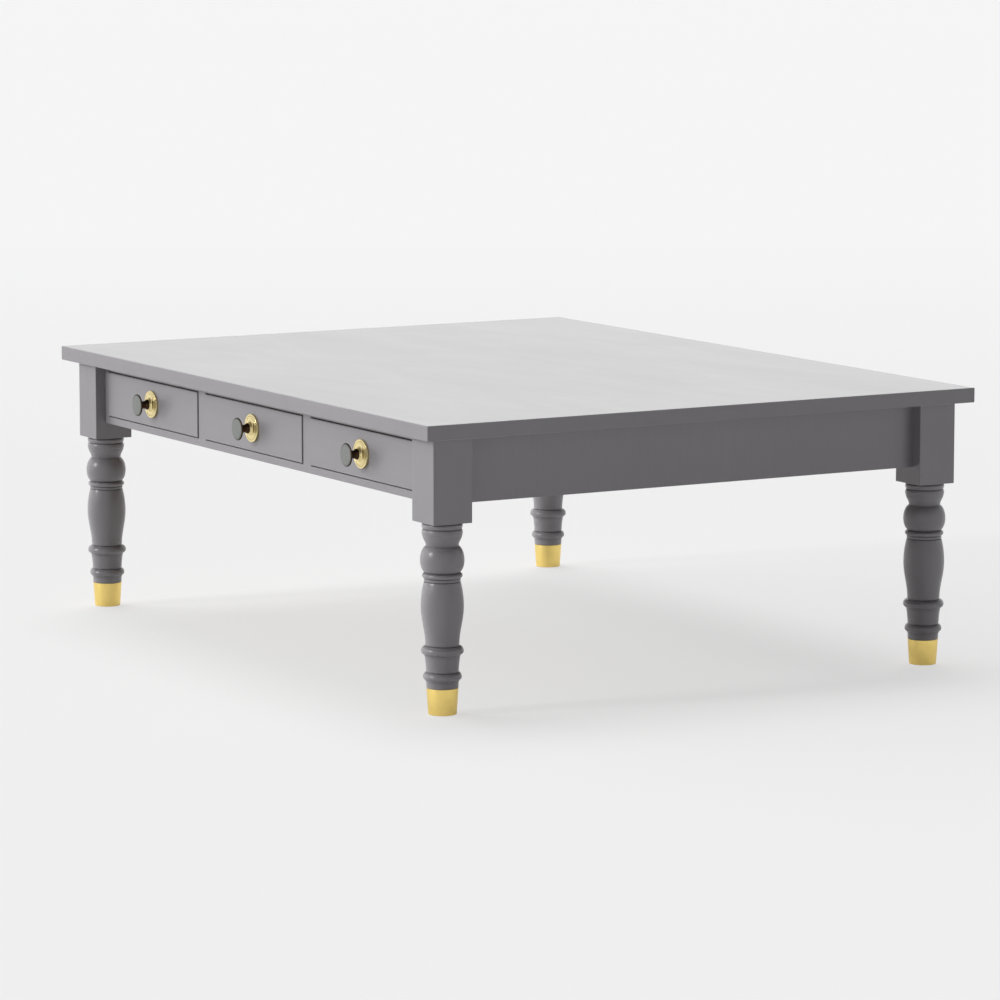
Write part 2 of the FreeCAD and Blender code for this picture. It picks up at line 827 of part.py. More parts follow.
def button_master(label, turn):
    """Wooden button, turned so that its tongue points at its apron."""
    s = size
    body = new_body(label)
    half = s.button_width / 2
    block(body, "Additive", (-button_half, -half, 0), (s.button_length, s.button_width, s.button_height))
    block(body, "Additive", (-button_half - s.button_tongue, -half, 0),
          (s.button_tongue + button_half, s.button_width, s.button_tongue_height))
    place(body, 0, 0, 0, FreeCAD.Rotation(V(0, 0, 1), turn))
    return body


def stop_master():
    s = size
    body = new_body("stop_block")
    block(body, "Additive", (-s.stop_width / 2, 0, 0), (s.stop_width, s.stop_length, s.stop_height))
    return body


def drawer_stops():
    """Blocks on the lower rail that the drawer fronts close against."""
    s = size
    y = drawer_face_y + s.drawer_front_thickness + s.run_gap
    apart = inner_half * STOP_SHARE
    places = [(drawer_pitch * step + apart * sign, y, opening_low)
              for step in (-1, 1) for sign in (-1, 1)]
    places += [(apart * sign, y, opening_low) for sign in (-1, 1)]
    master = stop_master()
    return [group("drawer_stops", [(master, spot) for spot in places])]


def dovetail(sketch, near, far):
    """Draw the lowest tail: narrow at the shoulder, wide at the tip."""
    s = size
    middle = drawer_height / (2 * TAILS)
    root, tip = s.dovetail_root / 2, s.dovetail_tip / 2
    polygon(sketch, [(near, middle - root), (far, middle - tip),
                     (far, middle + tip), (near, middle + root)])


def drawer_front(label, x):
    """Drawer front with dovetail sockets, bottom groove and knob hole."""
    s = size
    body = new_body(label)
    half = drawer_width / 2
    thick = s.drawer_front_thickness
    face = new_sketch(body, "XZ_Plane")
    polygon(face, [(-half, 0), (half, 0), (half, drawer_height), (-half, drawer_height)])
    pad(body, face, thick, against=True)
    limit = thick.value / 2

    def outer_edge(edge):
        return edge.BoundBox.YMax < limit

    soften(body, s.drawer_arris, outer_edge)
    for side in (-1, 1):
        start = inner_half if side > 0 else -half - s.overrun
        socket = new_sketch(body, "YZ_Plane", start)
        dovetail(socket, thick, thick - s.dovetail_length)
        cut = pocket(body, socket, s.drawer_side_thickness + s.overrun, along=True)
        repeat_upwards(body, cut, socket, drawer_height / TAILS, TAILS)
    reach = inner_half + s.bottom_groove_depth
    block(body, "Subtractive", (-reach, thick - s.bottom_groove_depth, s.drawer_bottom_rise),
          (reach * 2, s.bottom_groove_depth + s.overrun, s.drawer_bottom_thickness + s.bottom_gap))
    round_hole(body, (0, -s.overrun, drawer_height / 2), s.knob_screw_radius + s.bore_gap,
               thick + s.overrun * 2, FreeCAD.Rotation(V(1, 0, 0), -90))
    place(body, x, drawer_face_y, drawer_low)
    return [body]


def drawer_side(label, x, side):
    """Drawer side with tails, a groove for the bottom and a back housing."""
    s = size
    body = new_body(label)
    thick = s.drawer_side_thickness
    start_y = s.drawer_front_thickness
    low_x, _ = signed_span(side, inner_half, drawer_width / 2)
    block(body, "Additive", (low_x, start_y, 0), (thick, drawer_length - start_y, drawer_height))
    tail = new_sketch(body, "YZ_Plane", low_x)
    dovetail(tail, start_y, start_y - s.dovetail_length)
    grown = pad(body, tail, thick)
    repeat_upwards(body, grown, tail, drawer_height / TAILS, TAILS)
    low_x, wide_x = signed_span(side, inner_half - s.overrun, inner_half + s.bottom_groove_depth)
    groove_y = start_y - s.bottom_groove_depth
    block(body, "Subtractive", (low_x, groove_y, s.drawer_bottom_rise),
          (wide_x, drawer_length - groove_y + s.overrun,
           s.drawer_bottom_thickness + s.bottom_gap))
    low_x, wide_x = signed_span(side, inner_half - s.overrun, inner_half + s.drawer_back_housing)
    block(body, "Subtractive", (low_x, back_near - s.joint_gap, panel_top),
          (wide_x, s.drawer_back_thickness + s.joint_gap * 2, drawer_height - panel_top + s.overrun))
    place(body, x, drawer_face_y, drawer_low)
    return [body]


def drawer_back(label, x):
    """Drawer back, housed in the sides above the bottom panel."""
    s = size
    body = new_body(label)
    reach = inner_half + s.drawer_back_housing - s.joint_gap
    base = panel_top + s.bottom_gap
    block(body, "Additive", (-reach, back_near, base),
          (reach * 2, s.drawer_back_thickness, back_top - base))
    round_hole(body, (0, back_near - s.overrun, back_top - s.catch_drop / 2),
               s.peg_radius + s.joint_gap, s.peg_length + s.joint_end_gap + s.overrun,
               FreeCAD.Rotation(V(1, 0, 0), -90))
    place(body, x, drawer_face_y, drawer_low)
    return [body]


def drawer_bottom(label, x):
    """Thin panel in the grooves, passing under the drawer back."""
    s = size
    body = new_body(label)
    reach = inner_half + s.bottom_groove_depth - s.bottom_gap
    front = s.drawer_front_thickness - s.bottom_groove_depth + s.bottom_gap
    block(body, "Additive", (-reach, front, s.drawer_bottom_rise),
          (reach * 2, back_far - front, s.drawer_bottom_thickness))
    place(body, x, drawer_face_y, drawer_low)
    return [body]


def catch(label, x):
    """Turn catch on the drawer back, which meets the upper rail at full pull."""
    s = size
    body = new_body(label)
    block(body, "Additive", (-s.catch_width / 2, -s.catch_thickness, -s.catch_drop / 2 - s.catch_reach / 2),
          (s.catch_width, s.catch_thickness, s.catch_drop + s.catch_reach * 3 / 2))
    peg = new_sketch(body, "XZ_Plane")
    circle(peg, (0, 0), s.peg_radius)
    pad(body, peg, s.peg_length, against=True)
    place(body, x, drawer_face_y + back_near, drawer_low + back_top - s.catch_drop / 2)
    return [body]


KNOB_TURN = FreeCAD.Rotation(V(1, 0, 0), 90)
knob_level = drawer_low + drawer_height / 2


def backplate(label, x):
    """Round brass rosette: a flat disc, a raised step and a boss."""
    s = size
    body = new_body(label)
    bore = s.knob_screw_radius + s.bore_gap
    step = s.plate_thickness + s.plate_step_height
    turned(body, (bore, 0), [
        ("line", None, (s.plate_radius, 0)),
        ("line", None, (s.plate_radius, s.plate_thickness)),
        ("line", None, (s.plate_step_radius, s.plate_thickness)),
        ("line", None, (s.plate_step_radius, step)),
        ("line", None, (s.boss_radius, step)),
        ("line", None, (s.boss_radius, s.boss_height)),
        ("line", None, (bore, s.boss_height)),
    ])
    place(body, x, drawer_face_y, knob_level, KNOB_TURN)
    return [body]


def knob(label, x):
    """Mushroom knob: a round foot, a neck and a flat head."""
    s = size
    body = new_body(label)
    bore = s.knob_screw_radius + s.bore_gap
    rim_low = s.knob_height - s.knob_rim
    turned(body, (bore, 0), [
        ("line", None, (s.knob_base_radius, 0)),
        ("line", None, (s.knob_base_radius, s.knob_base_height)),
        ("line", None, (s.knob_neck_radius, s.knob_base_height)),
        ("line", None, (s.knob_neck_radius, rim_low)),
        ("line", None, (s.knob_radius, rim_low)),
        ("line", None, (s.knob_radius, s.knob_height)),
        ("line", None, (0, s.knob_height)),
        ("line", None, (0, s.knob_bore_depth)),
        ("line", None, (bore, s.knob_bore_depth)),
    ])
    place(body, x, drawer_face_y - s.boss_height, knob_level, KNOB_TURN)
    return [body]


def knob_screw(label, x):
    """Pan-head screw from inside the drawer, through the front to the knob."""
    s = size
    body = new_body(label)
    turned(body, (0, -s.knob_screw_head_height), [
        ("line", None, (s.knob_screw_head_radius, -s.knob_screw_head_height)),
        ("line", None, (s.knob_screw_head_radius, 0)),
        ("line", None, (s.knob_screw_radius, 0)),
        ("line", None, (s.knob_screw_radius, s.knob_screw_length)),
        ("line", None, (0, s.knob_screw_length)),
    ])
    place(body, x, drawer_face_y + s.drawer_front_thickness, knob_level, KNOB_TURN)
    return [body]


def drawer(name, x):
    made = drawer_front(f"drawer_{name}_front", x)
    made += drawer_side(f"drawer_{name}_side_left", x, -1)
    made += drawer_side(f"drawer_{name}_side_right", x, 1)
    made += drawer_back(f"drawer_{name}_back", x)
    made += drawer_bottom(f"drawer_{name}_bottom", x)
    made += backplate(f"backplate_{name}", x)
    made += knob(f"knob_{name}", x)
    made += knob_screw(f"knob_screw_{name}", x)
    made += catch(f"catch_{name}", x)
    return made


def frame():
    """Legs, aprons, rails and what they hold inside."""
    corners = [("front_left", -1, -1), ("front_right", 1, -1),
               ("back_left", -1, 1), ("back_right", 1, 1)]
    made = []
    for name, side, end in corners:
        made += leg(f"leg_{name}", side, end)
    cup, disc = ferrule_master(), glide_master()
    feet = [(leg_x * side, leg_y * end) for _, side, end in corners]
    made.append(group("ferrules", [(cup, (x, y, size.glide_stand)) for x, y in feet]))
    made.append(group("floor_glides", [(disc, (x, y, 0)) for x, y in feet]))
    made += side_apron("apron_left", -1)
    made += side_apron("apron_right", 1)
    made += back_apron()
    made += middle_rail()
    made += cross_brace()
    made += bottom_rail()
    made += top_rail()
    for name, x, width in uprights:
        made += upright(name, x, width)
    made += drawer_track("left", -1)
    made += drawer_track("right", 1)
    made += drawer_stops()
    return made


def top_buttons():
    """Buttons that hold the top, with their tongues in the apron grooves."""
    towards = {turn: button_master(f"button_{turn}", turn) for turn in (0, 90, 180, 270)}
    low = under_top - size.button_height
    places = []
    for share in SIDE_BUTTON_SHARES:
        y = rear_y + (back_inner_y - rear_y) * share
        places.append((towards[0], (button_half - side_inner_x, y, low)))
        places.append((towards[180], (side_inner_x - button_half, y, low)))
    for sign in (-1, 1):
        x = post_in_x * LONG_BUTTON_SHARE * sign
        places.append((towards[270], (x, back_inner_y - button_half, low)))
        places.append((towards[90], (x, rear_y + button_half, low)))
    return [group("top_buttons", places)]


def check(nodes):
    """Stop if a feature failed, a cut removed nothing or a node is unsound."""
    for thing in doc.Objects:
        if {"Invalid", "Error"} & set(thing.State):
            raise RuntimeError(f"{thing.Name} ({thing.Label}) is {thing.State}")
        cuts = ("Subtractive", "Pocket")
        if any(word in thing.TypeId for word in cuts):
            if thing.Shape.Volume >= thing.BaseFeature.Shape.Volume:
                raise RuntimeError(f"{thing.Name} ({thing.Label}) cuts nothing")
    for node in nodes:
        if node.Shape.isNull() or not node.Shape.isValid():
            raise RuntimeError(f"{node.Label} has no valid shape")


nodes = table_top() + frame() + top_buttons()
for drawer_name, step in (("left", -1), ("centre", 0), ("right", 1)):
    nodes += drawer(drawer_name, drawer_pitch * step if step else 0)
doc.recompute()
check(nodes)
os.makedirs("parts", exist_ok=True)
for node in nodes:
    node.Shape.exportStep(f"parts/{node.Label}.step")
print(len(nodes), "nodes")
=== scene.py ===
"""Looks of a low painted coffee table with three drawers, dressed over its frame."""

import math

import bpy
import numpy as np
from bpy.props import FloatProperty, FloatVectorProperty, IntProperty, PointerProperty
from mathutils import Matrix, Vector


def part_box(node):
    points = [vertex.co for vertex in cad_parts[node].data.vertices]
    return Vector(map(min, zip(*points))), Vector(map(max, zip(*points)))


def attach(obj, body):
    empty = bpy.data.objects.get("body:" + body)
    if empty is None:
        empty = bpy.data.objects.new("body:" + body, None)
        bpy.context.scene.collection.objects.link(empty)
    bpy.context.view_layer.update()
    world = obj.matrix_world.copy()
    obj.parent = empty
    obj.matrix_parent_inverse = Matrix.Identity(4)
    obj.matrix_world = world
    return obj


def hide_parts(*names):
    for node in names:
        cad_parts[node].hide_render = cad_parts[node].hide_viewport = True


bl_info = {
    "name": "Coffee Table Dressing",
    "version": (1, 0, 0),
    "blender": (4, 5, 0),
    "location": "View3D > Sidebar > Coffee Table",
    "description": "Dresses the frame of a painted coffee table with turned legs and brass fittings",
    "category": "Object",
}

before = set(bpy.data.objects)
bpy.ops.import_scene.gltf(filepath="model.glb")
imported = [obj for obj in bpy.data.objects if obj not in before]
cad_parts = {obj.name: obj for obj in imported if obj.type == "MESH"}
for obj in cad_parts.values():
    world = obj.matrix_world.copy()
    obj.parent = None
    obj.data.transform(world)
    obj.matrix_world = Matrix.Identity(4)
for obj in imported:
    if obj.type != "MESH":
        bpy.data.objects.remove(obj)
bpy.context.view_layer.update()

MM = 0.001
DRAWERS = ("left", "centre", "right")
CORNERS = ("front_left", "front_right", "back_left", "back_right")
AXES = "xyz"

# Directions that painted faces look
LEFT = (-1, 0, 0)
RIGHT = (1, 0, 0)
BACK = (0, 1, 0)
DOWN = (0, 0, -1)

# Range that most of a cloud's values lie in
CLOUD_RANGE = (0.3, 0.7)

# Paint: depth of its brush marks, how far it reaches behind the front, and its edge
BRUSH_MARKS = 0.12 * MM
RAIL_REACH = 18 * MM
DRAWER_REACH = 6 * MM
EDGE_WOBBLE = 1.5 * MM
EDGE_BLUR = 0.4 * MM

# Paint of the legs: its share of the colour as painted shade in a hollow and as a painted highlight on a
# crest
PAINTED_SHADE_TINT = 0.55
PAINTED_HIGHLIGHT_TINT = 1.12

# How squarely a face looks: the painted way, upwards for the lacquer, along the grain for end grain
PAINT_FACING = 0.5
LACQUER_FACING = (0.5, 0.9)
END_GRAIN_FACING = (0.6, 0.9)

# Turnings: a sharper corner than this is rubbed back, by at most this share of the lines beside it
SHARP_CORNER = math.radians(24)
MOST_RUBBED = 0.4

# A sharper edge than this is shaded sharp
SHADED_SHARP = math.radians(38)

# How far to either side a swell is measured, and the share of that which makes a full one
LEG_SWELL_REACH = 3.5 * MM
PLATE_SWELL_REACH = 1.2 * MM
FULL_SWELL = 0.4

# Square post of a leg: how far its four corners are rounded, and in how many steps
POST_ARRIS = 0.9 * MM
POST_ARRIS_STEPS = 6

# Bevel of the post's two ends, and the share of it that is left at the middle point of the lower one
POST_BEVEL = 0.7 * MM
POST_BEVEL_LEFT = 0.3

# Patina of a knob's face, worn away towards the rim
PATINA_RADIUS = 17.9 * MM
PATINA_FADE = 2.6 * MM

# Soft lobes of the light from all round: where each comes from, and how narrow it is
KEY_FROM = (-0.87, -0.47, 0.12)
KEY_POWER = 4.5
FILL_FROM = (0.76, 0.65, 0.0)
FILL_POWER = 9.0

# Lamps: where each comes from, and how wide it looks
SIDE_FROM = (-0.82, -0.57, 0.03)
SIDE_WIDTH = math.radians(26)
GLINT_FROM = (-0.15, -0.90, 0.40)
GLINT_WIDTH = math.radians(10)
OVERHEAD_FROM = (-0.35, 0.15, 0.92)
OVERHEAD_WIDTH = math.radians(35)

# Rise of a direction, from 0 level to 1 upright, where the ambient light turns into the zenith's
AMBIENT_RISE = (0.2, 0.95)

# Where the background that paint and metal show is dimmed: towards the near side, and high up
NEAR_SIDE = (0.87, -0.5, 0.0)
DIM_SIDE_RANGE = (-0.2, 0.6)
DIM_ABOVE_RISE = (0.35, 0.7)

# Floor: half its width, the depths between which it fades, and its shadow's share in a reflection
FLOOR_HALF = 40.0
FLOOR_FADE = (2.0, 8.0)
GLOSSY_SHADOW = 0.6

SENSOR_WIDTH = 36.0
FARTHEST_SEEN = 200.0


def linear(red, green, blue):
    """Linear colour with its alpha, from three display values out of 255."""
    share = np.array([red, green, blue]) / 255
    low, high = share / 12.92, ((share + 0.055) / 1.055) ** 2.4
    return (*np.where(share <= 0.04045, low, high).tolist(), 1.0)


def colour_property(label, description, default):
    return FloatVectorProperty(
        name=label, description=description, subtype="COLOR", size=4,
        min=0.0, max=1.0, default=default)


class TableSettings(bpy.types.PropertyGroup):
    """Colours and sizes of the finishes and turnings."""

    paint: colour_property("Paint", "Colour of the satin paint", linear(141, 138, 142))
    timber_pale: colour_property("Pale Timber", "Early wood of the bare timber", linear(198, 172, 132))
    timber_dark: colour_property("Dark Timber", "Late wood of the bare timber", linear(160, 130, 90))
    brass: colour_property("Brass", "Colour of the brass fittings", linear(253, 223, 134))
    brass_plate: colour_property("Plate Brass", "Colour of the paler brass of the backplates",
                                 linear(254, 238, 178))
    # Colour of the backplates' grooves: tarnished brass, with painted shade and painted reflection there
    # too
    tarnish_and_painted_shade: colour_property("Tarnish", "Colour in the grooves of the backplates", linear(150, 100, 42))
    bronze: colour_property("Bronze", "Colour of the dark knob stems", linear(62, 46, 34))
    patina: colour_property("Patina", "Colour of the knob faces", linear(147, 150, 147))
    steel_dull: colour_property("Dull Steel", "Darker spots of the plated screws", linear(168, 168, 162))
    steel_bright: colour_property("Bright Steel", "Paler spots of the plated screws",
                                  linear(196, 194, 184))
    felt_dark: colour_property("Dark Felt", "Darker fibres of the floor glides", linear(70, 68, 66))
    felt_pale: colour_property("Pale Felt", "Paler fibres of the floor glides", linear(120, 118, 114))
    nylon_warm: colour_property("Warm Nylon", "Darker flow of the turn catches", linear(216, 212, 200))
    nylon_pale: colour_property("Pale Nylon", "Paler flow of the turn catches", linear(232, 229, 219))
    sheen: FloatProperty(
        name="Paint Roughness", description="Roughness of the satin paint",
        min=0.05, max=1.0, default=0.32, subtype="FACTOR")
    softened: FloatProperty(
        name="Softened Arris", description="How far sharp corners of a turning are rubbed back",
        min=0.0, max=0.002, default=0.35 * MM, unit="LENGTH")
    quarter_points: IntProperty(
        name="Points Per Quarter", description="Points in a quarter of a turned ring",
        min=8, max=64, default=26)


class StageSettings(bpy.types.PropertyGroup):
    """Camera, lamps and background."""

    azimuth: FloatProperty(
        name="Azimuth", description="Turn of the view from the drawer side",
        subtype="ANGLE", default=math.radians(60.006))
    elevation: FloatProperty(
        name="Elevation", description="Rise of the view above the floor",
        subtype="ANGLE", default=math.radians(7.995))
    distance: FloatProperty(
        name="Distance", description="Camera to the point that it looks at",
        unit="LENGTH", default=7.8808)
    look_at: FloatVectorProperty(
        name="Look At", description="Point in the middle of the picture",
        subtype="XYZ", unit="LENGTH", default=(-0.0260, 0.0148, 0.2209))
    lens: FloatProperty(
        name="Lens", description="Focal length on a 36 mm wide sensor",
        subtype="DISTANCE_CAMERA", default=169.38)
    key: FloatProperty(
        name="Key Light", description="Brightness of the soft light low at the left end",
        min=0.0, max=40.0, default=4.4)
    fill: FloatProperty(
        name="Fill Light", description="Brightness of the weaker light low at the far right corner",
        min=0.0, max=10.0, default=1.45)
    side: FloatProperty(
        name="Side Lamp", description="Level of the lamp in the middle of the soft light",
        min=0.0, max=4.0, default=0.4)
    glint: FloatProperty(
        name="Glint Lamp", description="Level of the smaller lamp in front of the drawers",
        min=0.0, max=4.0, default=0.33)
    overhead: FloatProperty(
        name="Overhead Light", description="Level of the wide light above",
        min=0.0, max=4.0, default=0.5)
    ambient: FloatProperty(
        name="Ambient", description="Brightness all round near the horizon",
        min=0.0, max=2.0, default=0.03)
    zenith: FloatProperty(
        name="Zenith", description="Brightness straight above",
        min=0.0, max=2.0, default=0.0)
    background: colour_property("Backdrop", "Colour behind the table", linear(246, 246, 246))
    floor: colour_property("Floor", "Colour of the floor as seen", linear(240, 240, 240))
    bounce: colour_property("Floor Bounce", "Colour of the floor as it lights the table",
                            linear(204, 204, 204))
    shadow: FloatProperty(
        name="Shadow", description="Share of the floor's colour that takes the shadow",
        min=0.0, max=1.0, default=0.30, subtype="FACTOR")
    floor_glow: FloatProperty(
        name="Floor Glow", description="Brightness of the part of the floor that takes no shadow",
        min=0.5, max=1.2, default=0.991)
    dim_side: FloatProperty(
        name="Dim Side", description="Share of the background that metal shows from the near side",
        min=0.0, max=1.0, default=0.85, subtype="FACTOR")
    dim_above: FloatProperty(
        name="Dim Above", description="Share of the background that paint and metal show from high up",
        min=0.0, max=1.0, default=0.08, subtype="FACTOR")


class Finish:
    """Node tree of one finish, with a short call for each kind of node in it."""

    def __init__(self, name, **constants):
        self.material = bpy.data.materials.new(name)
        self.material.use_nodes = True
        self.tree = self.material.node_tree
        self.shader = self.tree.nodes["Principled BSDF"]
        for socket, value in constants.items():
            self.shader.inputs[socket.replace("_", " ")].default_value = value
        self.place = self.node("ShaderNodeTexCoord").outputs["Object"]

    def node(self, kind, sockets=None, **settings):
        """Add a node: settings are its own choices, sockets are values or links."""
        made = self.tree.nodes.new(kind)
        for name, value in settings.items():
            setattr(made, name, value)
        for name, value in (sockets or {}).items():
            self.feed(made.inputs[name], value)
        return made

    def feed(self, socket, value):
        if isinstance(value, bpy.types.NodeSocket):
            self.tree.links.new(value, socket)
        else:
            socket.default_value = value

    def drive(self, name, value):
        """Feed one socket of the finish's own shader."""
        self.feed(self.shader.inputs[name], value)

    def drawn_out(self, grain, share, offset=(0, 0, 0)):
        """Coordinates drawn out along the grain, so a speck becomes a streak."""
        scale = [share if axis == grain else 1 for axis in AXES]
        return self.node("ShaderNodeMapping", {
            "Vector": self.place, "Location": offset, "Scale": scale}).outputs[0]

    def cloud(self, vector, scale, detail=3.0, roughness=0.5, distortion=0.0):
        return self.node("ShaderNodeTexNoise", {
            "Vector": vector, "Scale": scale, "Detail": detail,
            "Roughness": roughness, "Distortion": distortion}).outputs["Fac"]

    def between(self, value, low, high, to_low=0.0, to_high=1.0):
        """Stretch a value's range from low..high to another, and hold it there."""
        return self.node("ShaderNodeMapRange", {
            "Value": value, "From Min": low, "From Max": high,
            "To Min": to_low, "To Max": to_high}).outputs[0]

    def swing(self, cloud, to_low=0.0, to_high=1.0):
        """Stretch the range that most of a cloud's values lie in to another."""
        return self.between(cloud, *CLOUD_RANGE, to_low, to_high)

    def maths(self, operation, one, other=0.0):
        return self.node("ShaderNodeMath", {0: one, 1: other}, operation=operation).outputs[0]

    def mix(self, share, one, other):
        """Colour between two others."""
        return self.node("ShaderNodeMix", {0: share, 6: one, 7: other}, data_type="RGBA").outputs[2]

    def blend(self, share, one, other):
        """Number between two others."""
        return self.node("ShaderNodeMix", {0: share, 2: one, 3: other}, data_type="FLOAT").outputs[0]

    def attribute(self, name):
        return self.node("ShaderNodeAttribute", attribute_name=name).outputs["Fac"]

    def normal(self):
        return self.node("ShaderNodeNewGeometry").outputs["Normal"]

    def rise(self, vector):
        """Upward part of a vector."""
        return self.node("ShaderNodeSeparateXYZ", {0: vector}).outputs["Z"]

    def along(self, vector, way):
        """How far a vector reaches one way: 1 for a unit vector that points there."""
        return self.node("ShaderNodeVectorMath", {0: vector, 1: way},
                         operation="DOT_PRODUCT").outputs["Value"]

    def finished(self, colour, rough, height, distance, strength):
        """Drive the shader and return the material.

        The bump's height goes from 0 to 1, which stands for a real distance.
        """
        bump = self.node("ShaderNodeBump", {
            "Height": height, "Distance": distance, "Strength": strength})
        self.drive("Base Color", colour)
        self.drive("Roughness", rough)
        self.drive("Normal", bump.outputs[0])
        return self.material

    def shown(self, output, shader):
        """Let a shader of the tree's own take the output's surface."""
        self.tree.links.new(shader.outputs[0], self.tree.nodes[output].inputs["Surface"])


def tint(colour, share):
    """A colour made lighter or darker by a share."""
    return (*[min(1.0, part * share) for part in colour[:3]], 1.0)


def paint_layer(finish, settings, grain, mottle):
    """Colour, roughness and height of satin paint over close-grained wood."""
    drawn = finish.drawn_out(grain, 0.05)
    streaks = finish.cloud(drawn, scale=170.0, detail=4.0, roughness=0.6)
    pores = finish.cloud(drawn, scale=1500.0, detail=2.0)
    patches = finish.cloud(finish.drawn_out(grain, 0.4), scale=7.0, roughness=0.55, distortion=0.4)
    orange_peel = finish.cloud(finish.place, scale=320.0, detail=2.0, roughness=0.4)
    tone = finish.maths("ADD", finish.swing(streaks, 0.0, 0.5), finish.swing(patches, 0.0, 0.5))
    colour = finish.mix(tone, tint(settings.paint, 1 - mottle), tint(settings.paint, 1 + mottle))
    rough = finish.swing(patches, settings.sheen - 0.04, settings.sheen + 0.05)
    finer = finish.maths("ADD", finish.maths("MULTIPLY", streaks, 0.45),
                         finish.maths("MULTIPLY", orange_peel, 0.2))
    height = finish.maths("ADD", finish.maths("MULTIPLY", pores, 0.35), finer)
    return colour, rough, height


def timber_layer(finish, settings, grain):
    """Colour, roughness and height of bare timber: rings, fibres and dark end grain."""
    drawn = finish.drawn_out(grain, 0.07, (0.11, 0.07, 0.13))
    wander = finish.cloud(drawn, scale=9.0, detail=2.0)
    rings = finish.node("ShaderNodeTexWave", {
        "Vector": drawn, "Scale": 26.0, "Distortion": 5.0, "Detail": 3.0,
        "Detail Scale": 1.4, "Detail Roughness": 0.6,
        "Phase Offset": finish.maths("MULTIPLY", wander, 9.0),
    }, wave_type="RINGS", rings_direction=grain.upper()).outputs["Fac"]
    fibres = finish.cloud(finish.drawn_out(grain, 0.02), scale=900.0, detail=4.0, roughness=0.6)
    tone = finish.maths("ADD", finish.maths("MULTIPLY", rings, 0.55), finish.swing(fibres, 0.0, 0.45))
    colour = finish.mix(tone, settings.timber_pale, settings.timber_dark)
    grain_way = [float(axis == grain) for axis in AXES]
    squarely = finish.maths("ABSOLUTE", finish.along(finish.normal(), grain_way))
    end_grain = finish.between(squarely, *END_GRAIN_FACING, 0.0, 0.7)
    colour = finish.mix(end_grain, colour, tint(settings.timber_dark, 0.45))
    return colour, finish.swing(fibres, 0.52, 0.66), tone


def paint_cover(finish, looks, paint_to):
    """1 where there is paint, or None where it covers all.

    looks are the directions of the painted faces, and paint_to is the depth
    that the brush reached behind the front.
    """
    tests = [finish.maths("GREATER_THAN", finish.along(finish.normal(), way), PAINT_FACING)
             for way in looks]
    if paint_to is not None:
        depth = finish.along(finish.place, (0, 1, 0))
        wobble = finish.between(finish.cloud(finish.place, scale=60.0), 0.0, 1.0,
                                -EDGE_WOBBLE, EDGE_WOBBLE)
        edge = finish.maths("ADD", depth, wobble)
        tests.append(finish.between(edge, paint_to - EDGE_BLUR, paint_to + EDGE_BLUR, 1.0, 0.0))
    covered = None
    for test in tests:
        covered = test if covered is None else finish.maths("MAXIMUM", covered, test)
    return covered


def painted(name, settings, grain, mottle=0.035, looks=(), paint_to=None, lacquer=0.0, brushed=0.5):
    """Painted wood, bare where paint_cover says so.

    lacquer is the weight of a clear coat on faces that look up, and brushed
    the strength of the brush marks.
    """
    finish = Finish(name, IOR=1.5, Coat_Roughness=0.2, Coat_IOR=1.76)
    colour, rough, height = paint_layer(finish, settings, grain, mottle)
    covered = paint_cover(finish, looks, paint_to)
    if covered is not None:
        bare_colour, bare_rough, bare_height = timber_layer(finish, settings, grain)
        colour = finish.mix(covered, bare_colour, colour)
        rough = finish.blend(covered, bare_rough, rough)
        height = finish.blend(covered, bare_height, height)
    if lacquer:
        upward = finish.rise(finish.normal())
        finish.drive("Coat Weight", finish.between(upward, *LACQUER_FACING, 0.0, lacquer))
    return finish.finished(colour, rough, height, distance=BRUSH_MARKS, strength=brushed)


def painted_turning(settings):
    """Paint on the legs: darker in the hollows as painted shade, lighter on the crests as a painted
    highlight, and smoother there.
    """
    finish = Finish("paint_turned", IOR=1.5)
    colour, rough, height = paint_layer(finish, settings, "z", mottle=0.03)
    swell = finish.attribute("swell")
    # Painted shade: the colour is darkened in the hollows, where shade would fall
    hollow = finish.between(swell, 0.0, -1.0, 0.0, 0.85)
    # Painted highlight: the colour is lightened on the crests, which are also made less rough
    crest = finish.between(swell, 0.2, 1.0, 0.0, 0.35)
    colour = finish.mix(hollow, colour, tint(settings.paint, PAINTED_SHADE_TINT))
    colour = finish.mix(crest, colour, tint(settings.paint, PAINTED_HIGHLIGHT_TINT))
    rough = finish.maths("SUBTRACT", rough, finish.maths("MULTIPLY", crest, 0.15))
    return finish.finished(colour, rough, height, distance=BRUSH_MARKS, strength=0.5)


def bare_timber(name, settings, grain, worn_share=1.0):
    """Unfinished timber: worn_share is how light its worn patches are beside the dark wood."""
    finish = Finish(name, IOR=1.45)
    colour, rough, height = timber_layer(finish, settings, grain)
    worn = finish.between(finish.cloud(finish.place, scale=14.0, roughness=0.6), 0.35, 0.75, 0.0, 0.25)
    colour = finish.mix(worn, colour, tint(settings.timber_dark, worn_share))
    return finish.finished(colour, rough, height, distance=0.15 * MM, strength=0.6)


def brass(settings):
    """Satin brass with fine lathe lines, faintly dulled in patches."""
    finish = Finish("satin_brass", Metallic=0.86)
    lines = finish.cloud(finish.drawn_out("z", 9.0), scale=260.0, roughness=0.6)
    dull = finish.cloud(finish.place, scale=55.0, detail=4.0, roughness=0.6, distortion=0.3)
    tone = finish.between(dull, 0.35, 0.7, 0.0, 0.35)
    colour = finish.mix(tone, settings.brass, tint(settings.brass, 0.82))
    rough = finish.swing(dull, 0.27, 0.38)
    return finish.finished(colour, rough, lines, distance=0.01 * MM, strength=0.3)


